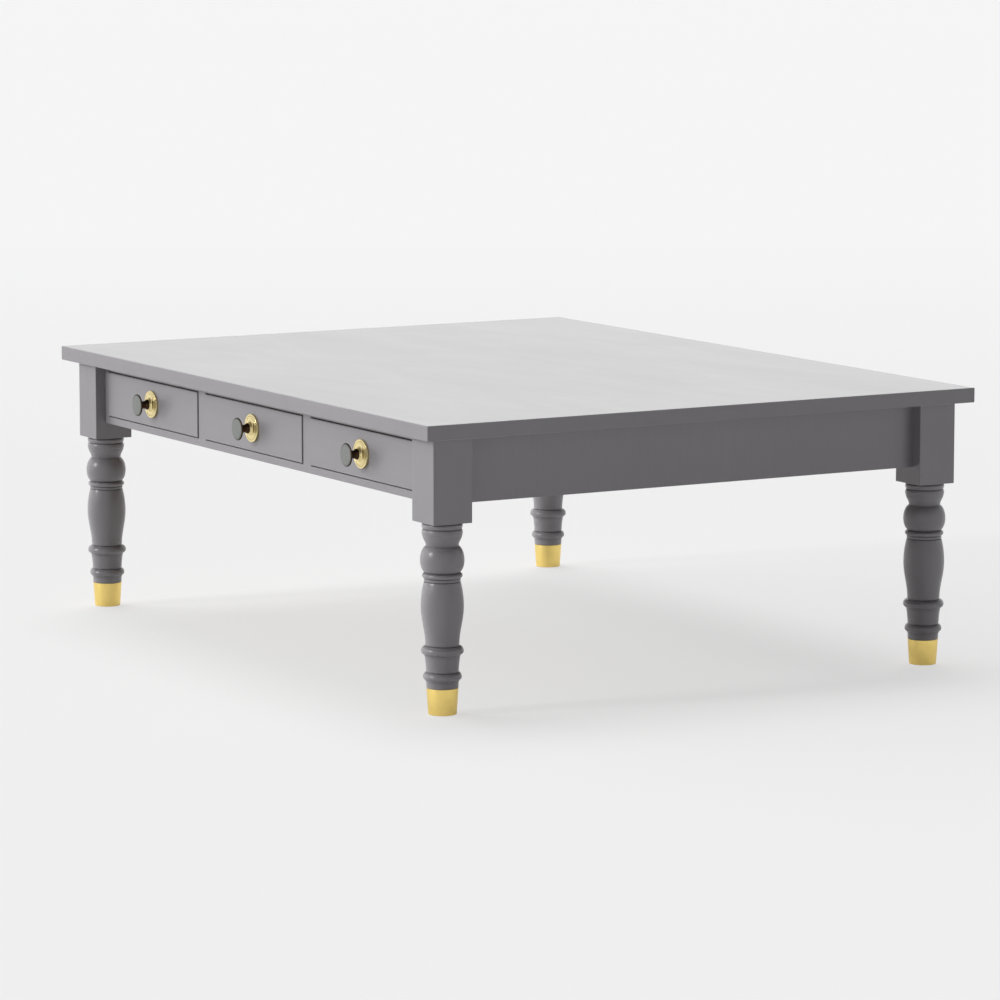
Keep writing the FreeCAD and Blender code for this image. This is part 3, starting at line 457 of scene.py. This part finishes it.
def polished_brass(settings):
    """Brighter brass of the backplates, tarnished and darkened with painted shade in the grooves."""
    finish = Finish("polished_brass", Metallic=1.0)
    dull = finish.cloud(finish.place, scale=160.0, detail=4.0, roughness=0.6, distortion=0.3)
    # Painted shade and painted reflection: the plate's hollows take the darker, tarnished colour
    groove = finish.between(finish.attribute("swell"), 0.0, -1.0, 0.0, 0.7)
    tone = finish.maths("MAXIMUM", groove, finish.between(dull, 0.4, 0.7, 0.0, 0.2))
    colour = finish.mix(tone, settings.brass_plate, settings.tarnish_and_painted_shade)
    fine = finish.cloud(finish.place, scale=700.0, detail=2.0)
    rough = finish.swing(dull, 0.26, 0.32)
    return finish.finished(colour, rough, fine, distance=0.004 * MM, strength=0.2)


def bronze(settings):
    """Dark bronze of the knobs, with a worn green-grey patina on the face."""
    finish = Finish("dark_bronze", Metallic=1.0)
    face = finish.attribute("face")
    mottle = finish.cloud(finish.place, scale=220.0, detail=4.0, roughness=0.6, distortion=0.5)
    spots = finish.swing(mottle)
    patina = finish.mix(spots, tint(settings.patina, 0.86), tint(settings.patina, 1.05))
    stem = finish.mix(spots, tint(settings.bronze, 0.7), tint(settings.bronze, 1.4))
    rough = finish.blend(face, 0.3, finish.swing(mottle, 0.4, 0.5))
    colour = finish.mix(face, stem, patina)
    return finish.finished(colour, rough, mottle, distance=0.02 * MM, strength=0.4)


def steel(settings):
    """Zinc-plated steel of the screws."""
    finish = Finish("plated_steel", Metallic=1.0)
    spots = finish.cloud(finish.place, scale=700.0, detail=4.0, roughness=0.6)
    colour = finish.mix(finish.swing(spots), settings.steel_dull, settings.steel_bright)
    rough = finish.swing(spots, 0.28, 0.45)
    return finish.finished(colour, rough, spots, distance=0.02 * MM, strength=0.4)


def felt(settings):
    """Grey felt: matted fibres with a soft sheen."""
    finish = Finish("grey_felt", Sheen_Weight=0.5, Sheen_Roughness=0.5)
    fibres = finish.cloud(finish.place, scale=1400.0, detail=6.0, roughness=0.7, distortion=1.2)
    colour = finish.mix(fibres, settings.felt_dark, settings.felt_pale)
    rough = finish.between(fibres, 0.2, 0.8, 0.85, 1.0)
    return finish.finished(colour, rough, fibres, distance=0.5 * MM, strength=0.9)


def nylon(settings):
    """Off-white moulded nylon of the turn catches."""
    finish = Finish("moulded_nylon", Subsurface_Weight=0.05)
    flow = finish.cloud(finish.place, scale=300.0)
    colour = finish.mix(flow, settings.nylon_warm, settings.nylon_pale)
    rough = finish.swing(flow, 0.38, 0.5)
    return finish.finished(colour, rough, flow, distance=0.05 * MM, strength=0.3)


# Forms of a moulding: its steps, then how far out and how far up it has gone, by t from 0 to 1
FORMS = {
    # even slope
    "straight": (1, lambda t: t, lambda t: t),
    # starts and ends upright: half a cosine wave outwards
    "cyma": (18, lambda t: (1 - np.cos(np.pi * t)) / 2, lambda t: t),
    # starts upright and leans over by the square of the height
    "shoulder": (12, lambda t: t * t, lambda t: t),
    # quarter ellipse that starts level and ends upright
    "hollow": (8, lambda t: np.sin(np.pi * t / 2), lambda t: 1 - np.cos(np.pi * t / 2)),
    # quarter ellipse that starts upright and ends level
    "round": (12, lambda t: 1 - np.cos(np.pi * t / 2), lambda t: np.sin(np.pi * t / 2)),
}
BEAD_STEPS = 16


def bead(start, radius, height, crest, share, opening):
    """Ring between two levels: an arc of an ellipse on the straight line between them.

    With an angle going from -opening to +opening, the height follows its sine,
    bent so that the crest comes at the given share, and the swell its cosine.
    """
    angle = np.linspace(-opening, opening, BEAD_STEPS + 1)[1:]
    rise = (1 + np.sin(angle) / math.sin(opening)) / 2
    rise = rise ** (math.log(share) / math.log(0.5))
    swell = (np.cos(angle) - math.cos(opening)) / (1 - math.cos(opening))
    base = start[0] + (radius - start[0]) * rise
    height_now = start[1] + (height - start[1]) * rise
    crest_base = start[0] + (radius - start[0]) * share
    return np.column_stack([base + (crest - crest_base) * swell, height_now])


def outline(start, moves):
    """Rows of (radius, height) along mouldings, each (form, radius, height, ...)."""
    rows = [np.array([start], float)]
    for form, radius, height, *extra in moves:
        last = rows[-1][-1]
        if form == "bead":
            rows.append(bead(last, radius, height, *extra))
            continue
        steps, out, up = FORMS[form]
        t = np.linspace(0, 1, steps + 1)[1:]
        rows.append(np.column_stack([last[0] + (radius - last[0]) * out(t),
                                     last[1] + (height - last[1]) * up(t)]))
    return np.concatenate(rows)


def soften(rows, reach):
    """Round each sharp corner: three points of the curve that it is the handle of."""
    before, here, after = rows[:-2], rows[1:-1], rows[2:]
    back, ahead = before - here, after - here
    back_length = np.linalg.norm(back, axis=1, keepdims=True)
    ahead_length = np.linalg.norm(ahead, axis=1, keepdims=True)
    back, ahead = back / back_length, ahead / ahead_length
    turn = np.arccos(np.clip(-(back * ahead).sum(1), -1, 1))
    cut = np.minimum(reach, MOST_RUBBED * np.minimum(back_length, ahead_length))
    first, last = here + back * cut, here + ahead * cut
    middle_point = (first + last) / 4 + here / 2
    sharp = turn > SHARP_CORNER
    picked = np.stack([first, np.where(sharp[:, None], middle_point, here), last], axis=1)
    keep = np.stack([sharp, np.ones_like(sharp), sharp], axis=1)
    return np.concatenate([rows[:1], picked[keep], rows[-1:]])


def swell_of(rows, reach, column=0):
    """How far each row stands out of the middle of its neighbours, from -1 to 1.

    Column 0 measures it across the axis, as on a leg, and column 1 along it,
    as on a plate.
    """
    run = np.concatenate([[0], np.cumsum(np.linalg.norm(np.diff(rows, axis=0), axis=1))])
    out = rows[:, column]
    either = (np.interp(run - reach, run, out) + np.interp(run + reach, run, out)) / 2
    return np.clip((out - either) / (reach * FULL_SWELL), -1, 1)


def post_angles(half, arris, count):
    """Angles of the points of a square with rounded corners, and their distances.

    Each quarter is even steps along one face, then even turns round a corner.
    """
    flat = half - arris
    corner = np.linspace(0, math.pi / 2, POST_ARRIS_STEPS + 1)[1:-1]
    along = np.linspace(-flat, flat, count - len(corner))
    x = np.concatenate([np.full_like(along, half), flat + arris * np.cos(corner)])
    y = np.concatenate([along, flat + arris * np.sin(corner)])
    angles = np.concatenate([np.arctan2(y, x) + turn * math.pi / 2 for turn in range(4)])
    return angles, np.tile(np.hypot(x, y), 4)


def even_angles(count):
    """Angles once round in even steps."""
    return np.arange(count) * (2 * math.pi / count)


def carried_round(rows, angles, share=None):
    """Rings of points: each row's radius carried round the axis, at its height.

    share holds, for each row, how much of the square post's outline it takes.
    """
    reach = np.broadcast_to(rows[:, :1], (len(rows), len(angles)))
    if share is not None:
        square, distances = share
        reach = reach * (1 - square[:, None]) + reach * distances * square[:, None]
    level = np.broadcast_to(rows[:, 1:], reach.shape)
    return np.stack([reach * np.cos(angles), reach * np.sin(angles), level], axis=-1)


def skin(rings):
    """Closed skin through a stack of rings: its points, and blocks of its faces.

    Four-sided faces join each ring to the next, and a fan of triangles closes
    each end at the middle of its ring.
    """
    rows, count = rings.shape[:2]
    ends = np.stack([rings[0].mean(0), rings[-1].mean(0)])
    points = np.concatenate([rings.reshape(-1, 3), ends])
    index = np.arange(rows * count).reshape(rows, count)
    beside = np.roll(index, -1, axis=1)
    sides = np.stack([index[:-1], beside[:-1], beside[1:], index[1:]], axis=-1).reshape(-1, 4)
    low = np.stack([beside[0], index[0], np.full(count, rows * count)], axis=-1)
    high = np.stack([index[-1], beside[-1], np.full(count, rows * count + 1)], axis=-1)
    return points, (sides, low, high)


def per_point(values, count):
    """One value per row spread over its ring, with the two end points."""
    return np.concatenate([np.repeat(values, count), values[[0, -1]]])


def new_piece(name, parts, material, body, replaced, attributes=()):
    """One mesh object from skins, with its finish, body, slot and CAD nodes."""
    points, faces, start = [], [], 0
    for part_points, part_faces in parts:
        points.append(part_points)
        for block in part_faces:
            faces += (start + block).tolist()
        start += len(part_points)
    mesh = bpy.data.meshes.new(name)
    mesh.from_pydata(np.concatenate(points).tolist(), [], faces)
    for label, values in attributes:
        layer = mesh.attributes.new(label, "FLOAT", "POINT")
        layer.data.foreach_set("value", np.asarray(values, np.float32))
    mesh.materials.append(material)
    mesh.shade_smooth()
    mesh.set_sharp_from_angle(angle=SHADED_SHARP)
    mesh.validate()
    piece = bpy.data.objects.new(name, mesh)
    bpy.context.scene.collection.objects.link(piece)
    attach(piece, body)
    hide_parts(*replaced)


def middle(node):
    low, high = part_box(node)
    return (low + high) / 2


def on_axis(points, node):
    """Points moved sideways to the middle of a node."""
    centre = middle(node)
    return points + np.array([centre.x, centre.y, 0])


# Turning of a leg from the foot up: form, radius, height and a bead's crest, share, opening
FULL_BEAD = math.radians(88)
LEG_START = (19.8, 6.0)
LEG_MOULDINGS = (
    ("straight", 19.8, 40.9),
    ("straight", 23.7, 41.05),
    ("straight", 23.7, 41.8),
    ("straight", 24.5, 42.0),
    ("straight", 24.8, 51.5),
    ("straight", 26.0, 51.7),
    ("straight", 26.1, 54.1),
    ("straight", 26.8, 54.2),
    ("bead", 25.4, 65.0, 29.5, 0.5, FULL_BEAD),
    ("straight", 23.4, 65.2),
    ("straight", 23.4, 66.4),
    ("straight", 24.9, 66.6),
    ("bead", 27.4, 91.2, 25.7, 0.5, math.radians(40)),
    ("straight", 28.2, 91.4),
    ("straight", 28.3, 93.2),
    ("straight", 29.0, 93.3),
    ("bead", 26.7, 105.6, 32.5, 0.52, FULL_BEAD),
    ("straight", 24.4, 105.8),
    ("straight", 24.4, 107.0),
    ("straight", 25.9, 107.2),
    ("cyma", 32.8, 167.0),
    ("shoulder", 28.0, 204.2),
    ("straight", 26.4, 204.4),
    ("straight", 26.4, 205.4),
    ("straight", 27.9, 205.6),
    ("straight", 28.0, 208.9),
    ("straight", 26.9, 209.3),
    ("straight", 26.9, 209.9),
    ("bead", 26.9, 217.8, 30.9, 0.5, FULL_BEAD),
    ("straight", 26.4, 218.3),
    ("bead", 25.2, 258.9, 33.8, 0.5, math.radians(74)),
    ("straight", 25.2, 260.2),
    ("cyma", 30.4, 276.0),
    ("bead", 29.8, 284.6, 31.2, 0.5, math.radians(70)),
    ("straight", 28.8, 285.0),
    ("straight", 28.8, 286.0),
    ("straight", 30.2, 286.3),
    ("bead", 30.4, 292.6, 31.2, 0.6, math.radians(80)),
    ("straight", 28.4, 293.1),
    ("straight", 28.4, 295.3),
)

# Brass cup of a foot: outside, rim and bore
CUP_START = (17.3, 2.0)
CUP_MOULDINGS = (
    ("straight", 17.3, 0.5),
    ("straight", 21.3, 0.5),
    ("hollow", 21.9, 1.3),
    ("straight", 24.5, 41.0),
    ("straight", 19.95, 41.0),
    ("straight", 19.95, 5.5),
)

# Backplate, out from the drawer: rim, groove, step, dish and boss
PLATE_START = (22.6, 0.0)
PLATE_MOULDINGS = (
    ("straight", 22.8, 0.2),
    ("straight", 22.8, 2.9),
    ("round", 22.3, 3.4),
    ("straight", 19.9, 3.5),
    ("straight", 19.6, 3.0),
    ("straight", 19.1, 3.0),
    ("straight", 18.8, 3.5),
    ("straight", 16.4, 3.6),
    ("round", 15.8, 4.1),
    ("straight", 14.8, 4.2),
    ("straight", 12.4, 3.9),
    ("hollow", 8.9, 7.6),
    ("straight", 8.8, 8.2),
    ("straight", 8.4, 8.6),
)

# Knob, out from the boss: foot, neck, back of the head, rim and domed face
KNOB_START = (8.2, 8.6)
KNOB_MOULDINGS = (
    ("straight", 8.6, 8.9),
    ("straight", 8.6, 9.6),
    ("cyma", 6.3, 14.5),
    ("straight", 6.4, 21.0),
    ("round", 9.5, 24.4),
    ("straight", 17.0, 25.9),
    ("hollow", 18.4, 27.0),
    ("straight", 18.4, 27.7),
)
KNOB_FACE = (("round", 0.4, 30.2),)


def turned_rows(start, moves, settings):
    """Softened outline of a turning, in metres."""
    return soften(outline(start, moves) * MM, settings.softened)


class TurnLegs(bpy.types.Operator):
    """Turn the four legs: the fine mouldings, and the square post above them"""

    bl_idname = "coffee_table.turn_legs"
    bl_label = "Turn Legs"

    def execute(self, context):
        settings = context.scene.table_settings
        low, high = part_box("leg_front_left")
        half = (high.x - low.x) / 2
        angles, distances = post_angles(half, POST_ARRIS, settings.quarter_points)
        turned = turned_rows(LEG_START, LEG_MOULDINGS, settings)
        post_low = turned[-1, 1]
        inset = POST_BEVEL / half
        post = np.array([
            [1 - inset, post_low],
            [1 - inset * POST_BEVEL_LEFT, post_low + POST_BEVEL * POST_BEVEL_LEFT],
            [1, post_low + POST_BEVEL],
            [1, high.z - POST_BEVEL],
            [1 - inset, high.z],
        ])
        rows = np.concatenate([turned, post])
        square = np.concatenate([np.zeros(len(turned)), np.ones(len(post))])
        points, faces = skin(carried_round(rows, angles, (square, distances)))
        swell = np.concatenate([swell_of(turned, LEG_SWELL_REACH), np.zeros(len(post))])
        material = painted_turning(settings)
        for corner in CORNERS:
            node = f"leg_{corner}"
            new_piece(f"turned_{node}", [(on_axis(points, node), faces)], material, "table",
                      [node], [("swell", per_point(swell, len(angles)))])
        return {"FINISHED"}


class FitFerrules(bpy.types.Operator):
    """Spin the tapered brass cups on the feet"""

    bl_idname = "coffee_table.fit_ferrules"
    bl_label = "Fit Ferrules"

    def execute(self, context):
        settings = context.scene.table_settings
        rows = turned_rows(CUP_START, CUP_MOULDINGS, settings)
        points, faces = skin(carried_round(rows, even_angles(4 * settings.quarter_points)))
        cups = [(on_axis(points, f"leg_{corner}"), faces) for corner in CORNERS]
        new_piece("brass_ferrules", cups, brass(settings), "table", ["ferrules"])
        return {"FINISHED"}


def on_drawer(points, node, face_y):
    """Turn points from the upright axis to face the drawer side, at a fitting's centre."""
    centre = middle(node)
    turned = np.column_stack([points[:, 0], -points[:, 2], points[:, 1]])
    return turned + np.array([centre.x, face_y, centre.z])


class FitKnobs(bpy.types.Operator):
    """Turn the backplates and the mushroom knobs of the drawers"""

    bl_idname = "coffee_table.fit_knobs"
    bl_label = "Fit Knobs"

    def execute(self, context):
        settings = context.scene.table_settings
        count = 4 * settings.quarter_points
        plate_rows = turned_rows(PLATE_START, PLATE_MOULDINGS, settings)
        plate, plate_faces = skin(carried_round(plate_rows, even_angles(count)))
        plate_swell = per_point(swell_of(plate_rows, PLATE_SWELL_REACH, column=1), count)
        stem = turned_rows(KNOB_START, KNOB_MOULDINGS, settings)
        rows = np.concatenate([stem, outline(stem[-1] / MM, KNOB_FACE)[1:] * MM])
        knob, knob_faces = skin(carried_round(rows, even_angles(count)))
        patina = np.clip((PATINA_RADIUS - rows[:, 0]) / PATINA_FADE, 0, 1)
        patina[:len(stem)] = 0
        on_face = per_point(patina, count)
        plate_finish, knob_finish = polished_brass(settings), bronze(settings)
        for name in DRAWERS:
            face_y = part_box(f"backplate_{name}")[1].y
            placed = on_drawer(plate, f"backplate_{name}", face_y)
            new_piece(f"rosette_{name}", [(placed, plate_faces)], plate_finish, f"drawer_{name}",
                      [f"backplate_{name}"], [("swell", plate_swell)])
            placed = on_drawer(knob, f"knob_{name}", face_y)
            new_piece(f"turned_knob_{name}", [(placed, knob_faces)], knob_finish, f"drawer_{name}",
                      [f"knob_{name}"], [("face", on_face)])
        return {"FINISHED"}


def finish_nodes(material, *names):
    """Give CAD nodes that show as they are one finish."""
    for name in names:
        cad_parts[name].data.materials.clear()
        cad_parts[name].data.materials.append(material)


class PaintFrame(bpy.types.Operator):
    """Paint the top, the aprons and what shows of the front, and leave the rest bare"""

    bl_idname = "coffee_table.paint_frame"
    bl_label = "Paint Frame"

    def execute(self, context):
        settings = context.scene.table_settings
        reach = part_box("front_bottom_rail")[0].y + RAIL_REACH
        finish_nodes(painted("paint_top", settings, "x", mottle=0.04, lacquer=1.0, brushed=0.25),
                     "table_top")
        finish_nodes(painted("paint_apron_left", settings, "z", looks=(LEFT, DOWN)), "apron_left")
        finish_nodes(painted("paint_apron_right", settings, "z", looks=(RIGHT, DOWN)), "apron_right")
        finish_nodes(painted("paint_apron_back", settings, "x", looks=(BACK, DOWN)), "apron_back")
        finish_nodes(painted("paint_rails", settings, "x", looks=(DOWN,), paint_to=reach),
                     "front_bottom_rail", "front_top_rail")
        finish_nodes(painted("paint_uprights", settings, "z", paint_to=reach),
                     "divider_left", "divider_right", "end_stile_left", "end_stile_right")
        face_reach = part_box("drawer_left_front")[0].y + DRAWER_REACH
        finish_nodes(painted("paint_drawer_fronts", settings, "x", paint_to=face_reach),
                     *[f"drawer_{name}_front" for name in DRAWERS])
        return {"FINISHED"}


class FinishInside(bpy.types.Operator):
    """Give the hidden frame, the drawer boxes and the small fittings their finishes"""

    bl_idname = "coffee_table.finish_inside"
    bl_label = "Finish Inside"

    def execute(self, context):
        settings = context.scene.table_settings
        kinds = ("runner", "guide", "kicker")
        strips = [f"{kind}_{place}_{side}" for kind in kinds
                  for place in ("inner", "outer") for side in ("left", "right")]
        sides = [f"drawer_{name}_side_{side}" for name in DRAWERS for side in ("left", "right")]
        finish_nodes(bare_timber("timber_lengthways", settings, "x"), "middle_rail", "drawer_stops",
                     *[f"drawer_{name}_back" for name in DRAWERS])
        finish_nodes(bare_timber("timber_crossways", settings, "y"), "cross_brace", "top_buttons",
                     *strips, *sides)
        finish_nodes(bare_timber("timber_panels", settings, "x", worn_share=1.2),
                     *[f"drawer_{name}_bottom" for name in DRAWERS])
        finish_nodes(steel(settings), *[f"knob_screw_{name}" for name in DRAWERS])
        finish_nodes(nylon(settings), *[f"catch_{name}" for name in DRAWERS])
        finish_nodes(felt(settings), "floor_glides")
        return {"FINISHED"}


def seen_share(finish):
    """1 for the rays that show the background: camera, glossy and transmission."""
    path = finish.node("ShaderNodeLightPath").outputs
    seen = finish.maths("MAXIMUM", path["Is Camera Ray"], path["Is Glossy Ray"])
    return finish.maths("MAXIMUM", seen, path["Is Transmission Ray"])


def floor_finish(stage):
    """Pale floor that fades into the background and takes only part of the shadow."""
    finish = Finish("pale_floor")
    away = (-math.sin(stage.azimuth), math.cos(stage.azimuth), 0)
    far = finish.between(finish.along(finish.place, away), *FLOOR_FADE)
    seen_colour = finish.mix(far, stage.floor, stage.background)
    shaded = finish.node("ShaderNodeBsdfDiffuse", {"Color": seen_colour})
    even = finish.node("ShaderNodeEmission", {"Color": seen_colour, "Strength": stage.floor_glow})
    glossy = finish.node("ShaderNodeLightPath").outputs["Is Glossy Ray"]
    share = finish.blend(glossy, stage.shadow, GLOSSY_SHADOW)
    both = finish.node("ShaderNodeMixShader", {0: share, 1: even.outputs[0], 2: shaded.outputs[0]})
    bounce = finish.node("ShaderNodeBsdfDiffuse", {"Color": stage.bounce})
    finish.shown("Material Output", finish.node("ShaderNodeMixShader", {
        0: seen_share(finish), 1: bounce.outputs[0], 2: both.outputs[0]}))
    return finish.material


class Studio(Finish):
    """The light from all round, told by direction, and the background that shows."""

    def __init__(self, name):
        world = bpy.data.worlds.new(name)
        bpy.context.scene.world = world
        world.use_nodes = True
        self.tree = world.node_tree
        self.way = self.node("ShaderNodeTexCoord").outputs["Generated"]

    def lobe(self, towards, power, level):
        """Soft lamp: a power of how nearly a direction points to its middle."""
        near = self.maths("MAXIMUM", self.along(self.way, Vector(towards).normalized()), 0.0)
        return self.maths("MULTIPLY", self.maths("POWER", near, power), level)

    def glow(self, strength, colour=(1, 1, 1, 1)):
        return self.node("ShaderNodeBackground", {"Strength": strength, "Color": colour}).outputs[0]


def light_the_studio(stage):
    """Faint light all round, a soft lobe low at the left and a weak one far right.

    Camera, glossy and transmission rays show an even background instead, which
    glossy ones find dimmed at the near side and high up.
    """
    studio = Studio("studio")
    rise = studio.rise(studio.way)
    even = studio.between(rise, *AMBIENT_RISE, stage.ambient, stage.zenith)
    lobes = studio.maths("ADD", studio.lobe(KEY_FROM, KEY_POWER, stage.key),
                         studio.lobe(FILL_FROM, FILL_POWER, stage.fill))
    level = studio.maths("ADD", even, lobes)
    near = studio.along(studio.way, NEAR_SIDE)
    dimmed = studio.maths("MULTIPLY", studio.between(near, *DIM_SIDE_RANGE, 1.0, stage.dim_side),
                          studio.between(rise, *DIM_ABOVE_RISE, 1.0, stage.dim_above))
    glossy = studio.node("ShaderNodeLightPath").outputs["Is Glossy Ray"]
    strength = studio.blend(glossy, 1.0, dimmed)
    studio.shown("World Output", studio.node("ShaderNodeMixShader", {
        0: seen_share(studio), 1: studio.glow(level), 2: studio.glow(strength, stage.background)}))


def soft_light(name, towards, width, level, mirrored=True):
    """Even light from one direction, softened by its width as seen from the table.

    A face square to a light of level 1 shows its own colour. One that isn't
    mirrored gives no highlight.
    """
    light = bpy.data.lights.new(name, "SUN")
    light.angle = width
    light.energy = level * math.pi
    lamp = bpy.data.objects.new(name, light)
    lamp.rotation_euler = Vector(towards).to_track_quat("Z", "Y").to_euler()
    lamp.visible_glossy = mirrored
    bpy.context.scene.collection.objects.link(lamp)


class SetStage(bpy.types.Operator):
    """Set the floor, the lamps, the background and the camera"""

    bl_idname = "coffee_table.set_stage"
    bl_label = "Set Stage"

    def execute(self, context):
        stage = context.scene.stage_settings
        corners = [(-1, -1), (1, -1), (1, 1), (-1, 1)]
        mesh = bpy.data.meshes.new("floor")
        mesh.from_pydata([(x * FLOOR_HALF, y * FLOOR_HALF, 0) for x, y in corners],
                         [], [(0, 1, 2, 3)])
        mesh.materials.append(floor_finish(stage))
        floor = bpy.data.objects.new("floor", mesh)
        context.scene.collection.objects.link(floor)
        light_the_studio(stage)
        soft_light("side", SIDE_FROM, SIDE_WIDTH, stage.side, mirrored=False)
        soft_light("glint", GLINT_FROM, GLINT_WIDTH, stage.glint)
        soft_light("overhead", OVERHEAD_FROM, OVERHEAD_WIDTH, stage.overhead)
        lens = bpy.data.cameras.new("camera")
        lens.lens = stage.lens
        lens.sensor_width = SENSOR_WIDTH
        lens.clip_end = FARTHEST_SEEN
        camera = bpy.data.objects.new("camera", lens)
        back = Vector((math.sin(stage.azimuth) * math.cos(stage.elevation),
                       -math.cos(stage.azimuth) * math.cos(stage.elevation),
                       math.sin(stage.elevation)))
        camera.location = Vector(stage.look_at) + back * stage.distance
        camera.rotation_euler = back.to_track_quat("Z", "Y").to_euler()
        context.scene.collection.objects.link(camera)
        context.scene.camera = camera
        context.scene.view_settings.view_transform = "Standard"
        return {"FINISHED"}


STEPS = (TurnLegs, FitFerrules, FitKnobs, PaintFrame, FinishInside, SetStage)


class TablePanel(bpy.types.Panel):
    """Buttons and settings of the coffee table"""

    bl_idname = "VIEW3D_PT_coffee_table"
    bl_label = "Coffee Table"
    bl_space_type = "VIEW_3D"
    bl_region_type = "UI"
    bl_category = "Coffee Table"

    def draw(self, context):
        for step in STEPS:
            self.layout.operator(step.bl_idname)
        for group in (context.scene.table_settings, context.scene.stage_settings):
            for name in group.bl_rna.properties.keys():
                if name not in ("rna_type", "name"):
                    self.layout.prop(group, name)


CLASSES = (TableSettings, StageSettings, *STEPS, TablePanel)


def register():
    for item in CLASSES:
        bpy.utils.register_class(item)
    bpy.types.Scene.table_settings = PointerProperty(type=TableSettings)
    bpy.types.Scene.stage_settings = PointerProperty(type=StageSettings)


def unregister():
    del bpy.types.Scene.stage_settings
    del bpy.types.Scene.table_settings
    for item in reversed(CLASSES):
        bpy.utils.unregister_class(item)


def main():
    register()
    for step in STEPS:
        group, name = step.bl_idname.split(".")
        getattr(getattr(bpy.ops, group), name)()


if __name__ == "__main__":
    main()
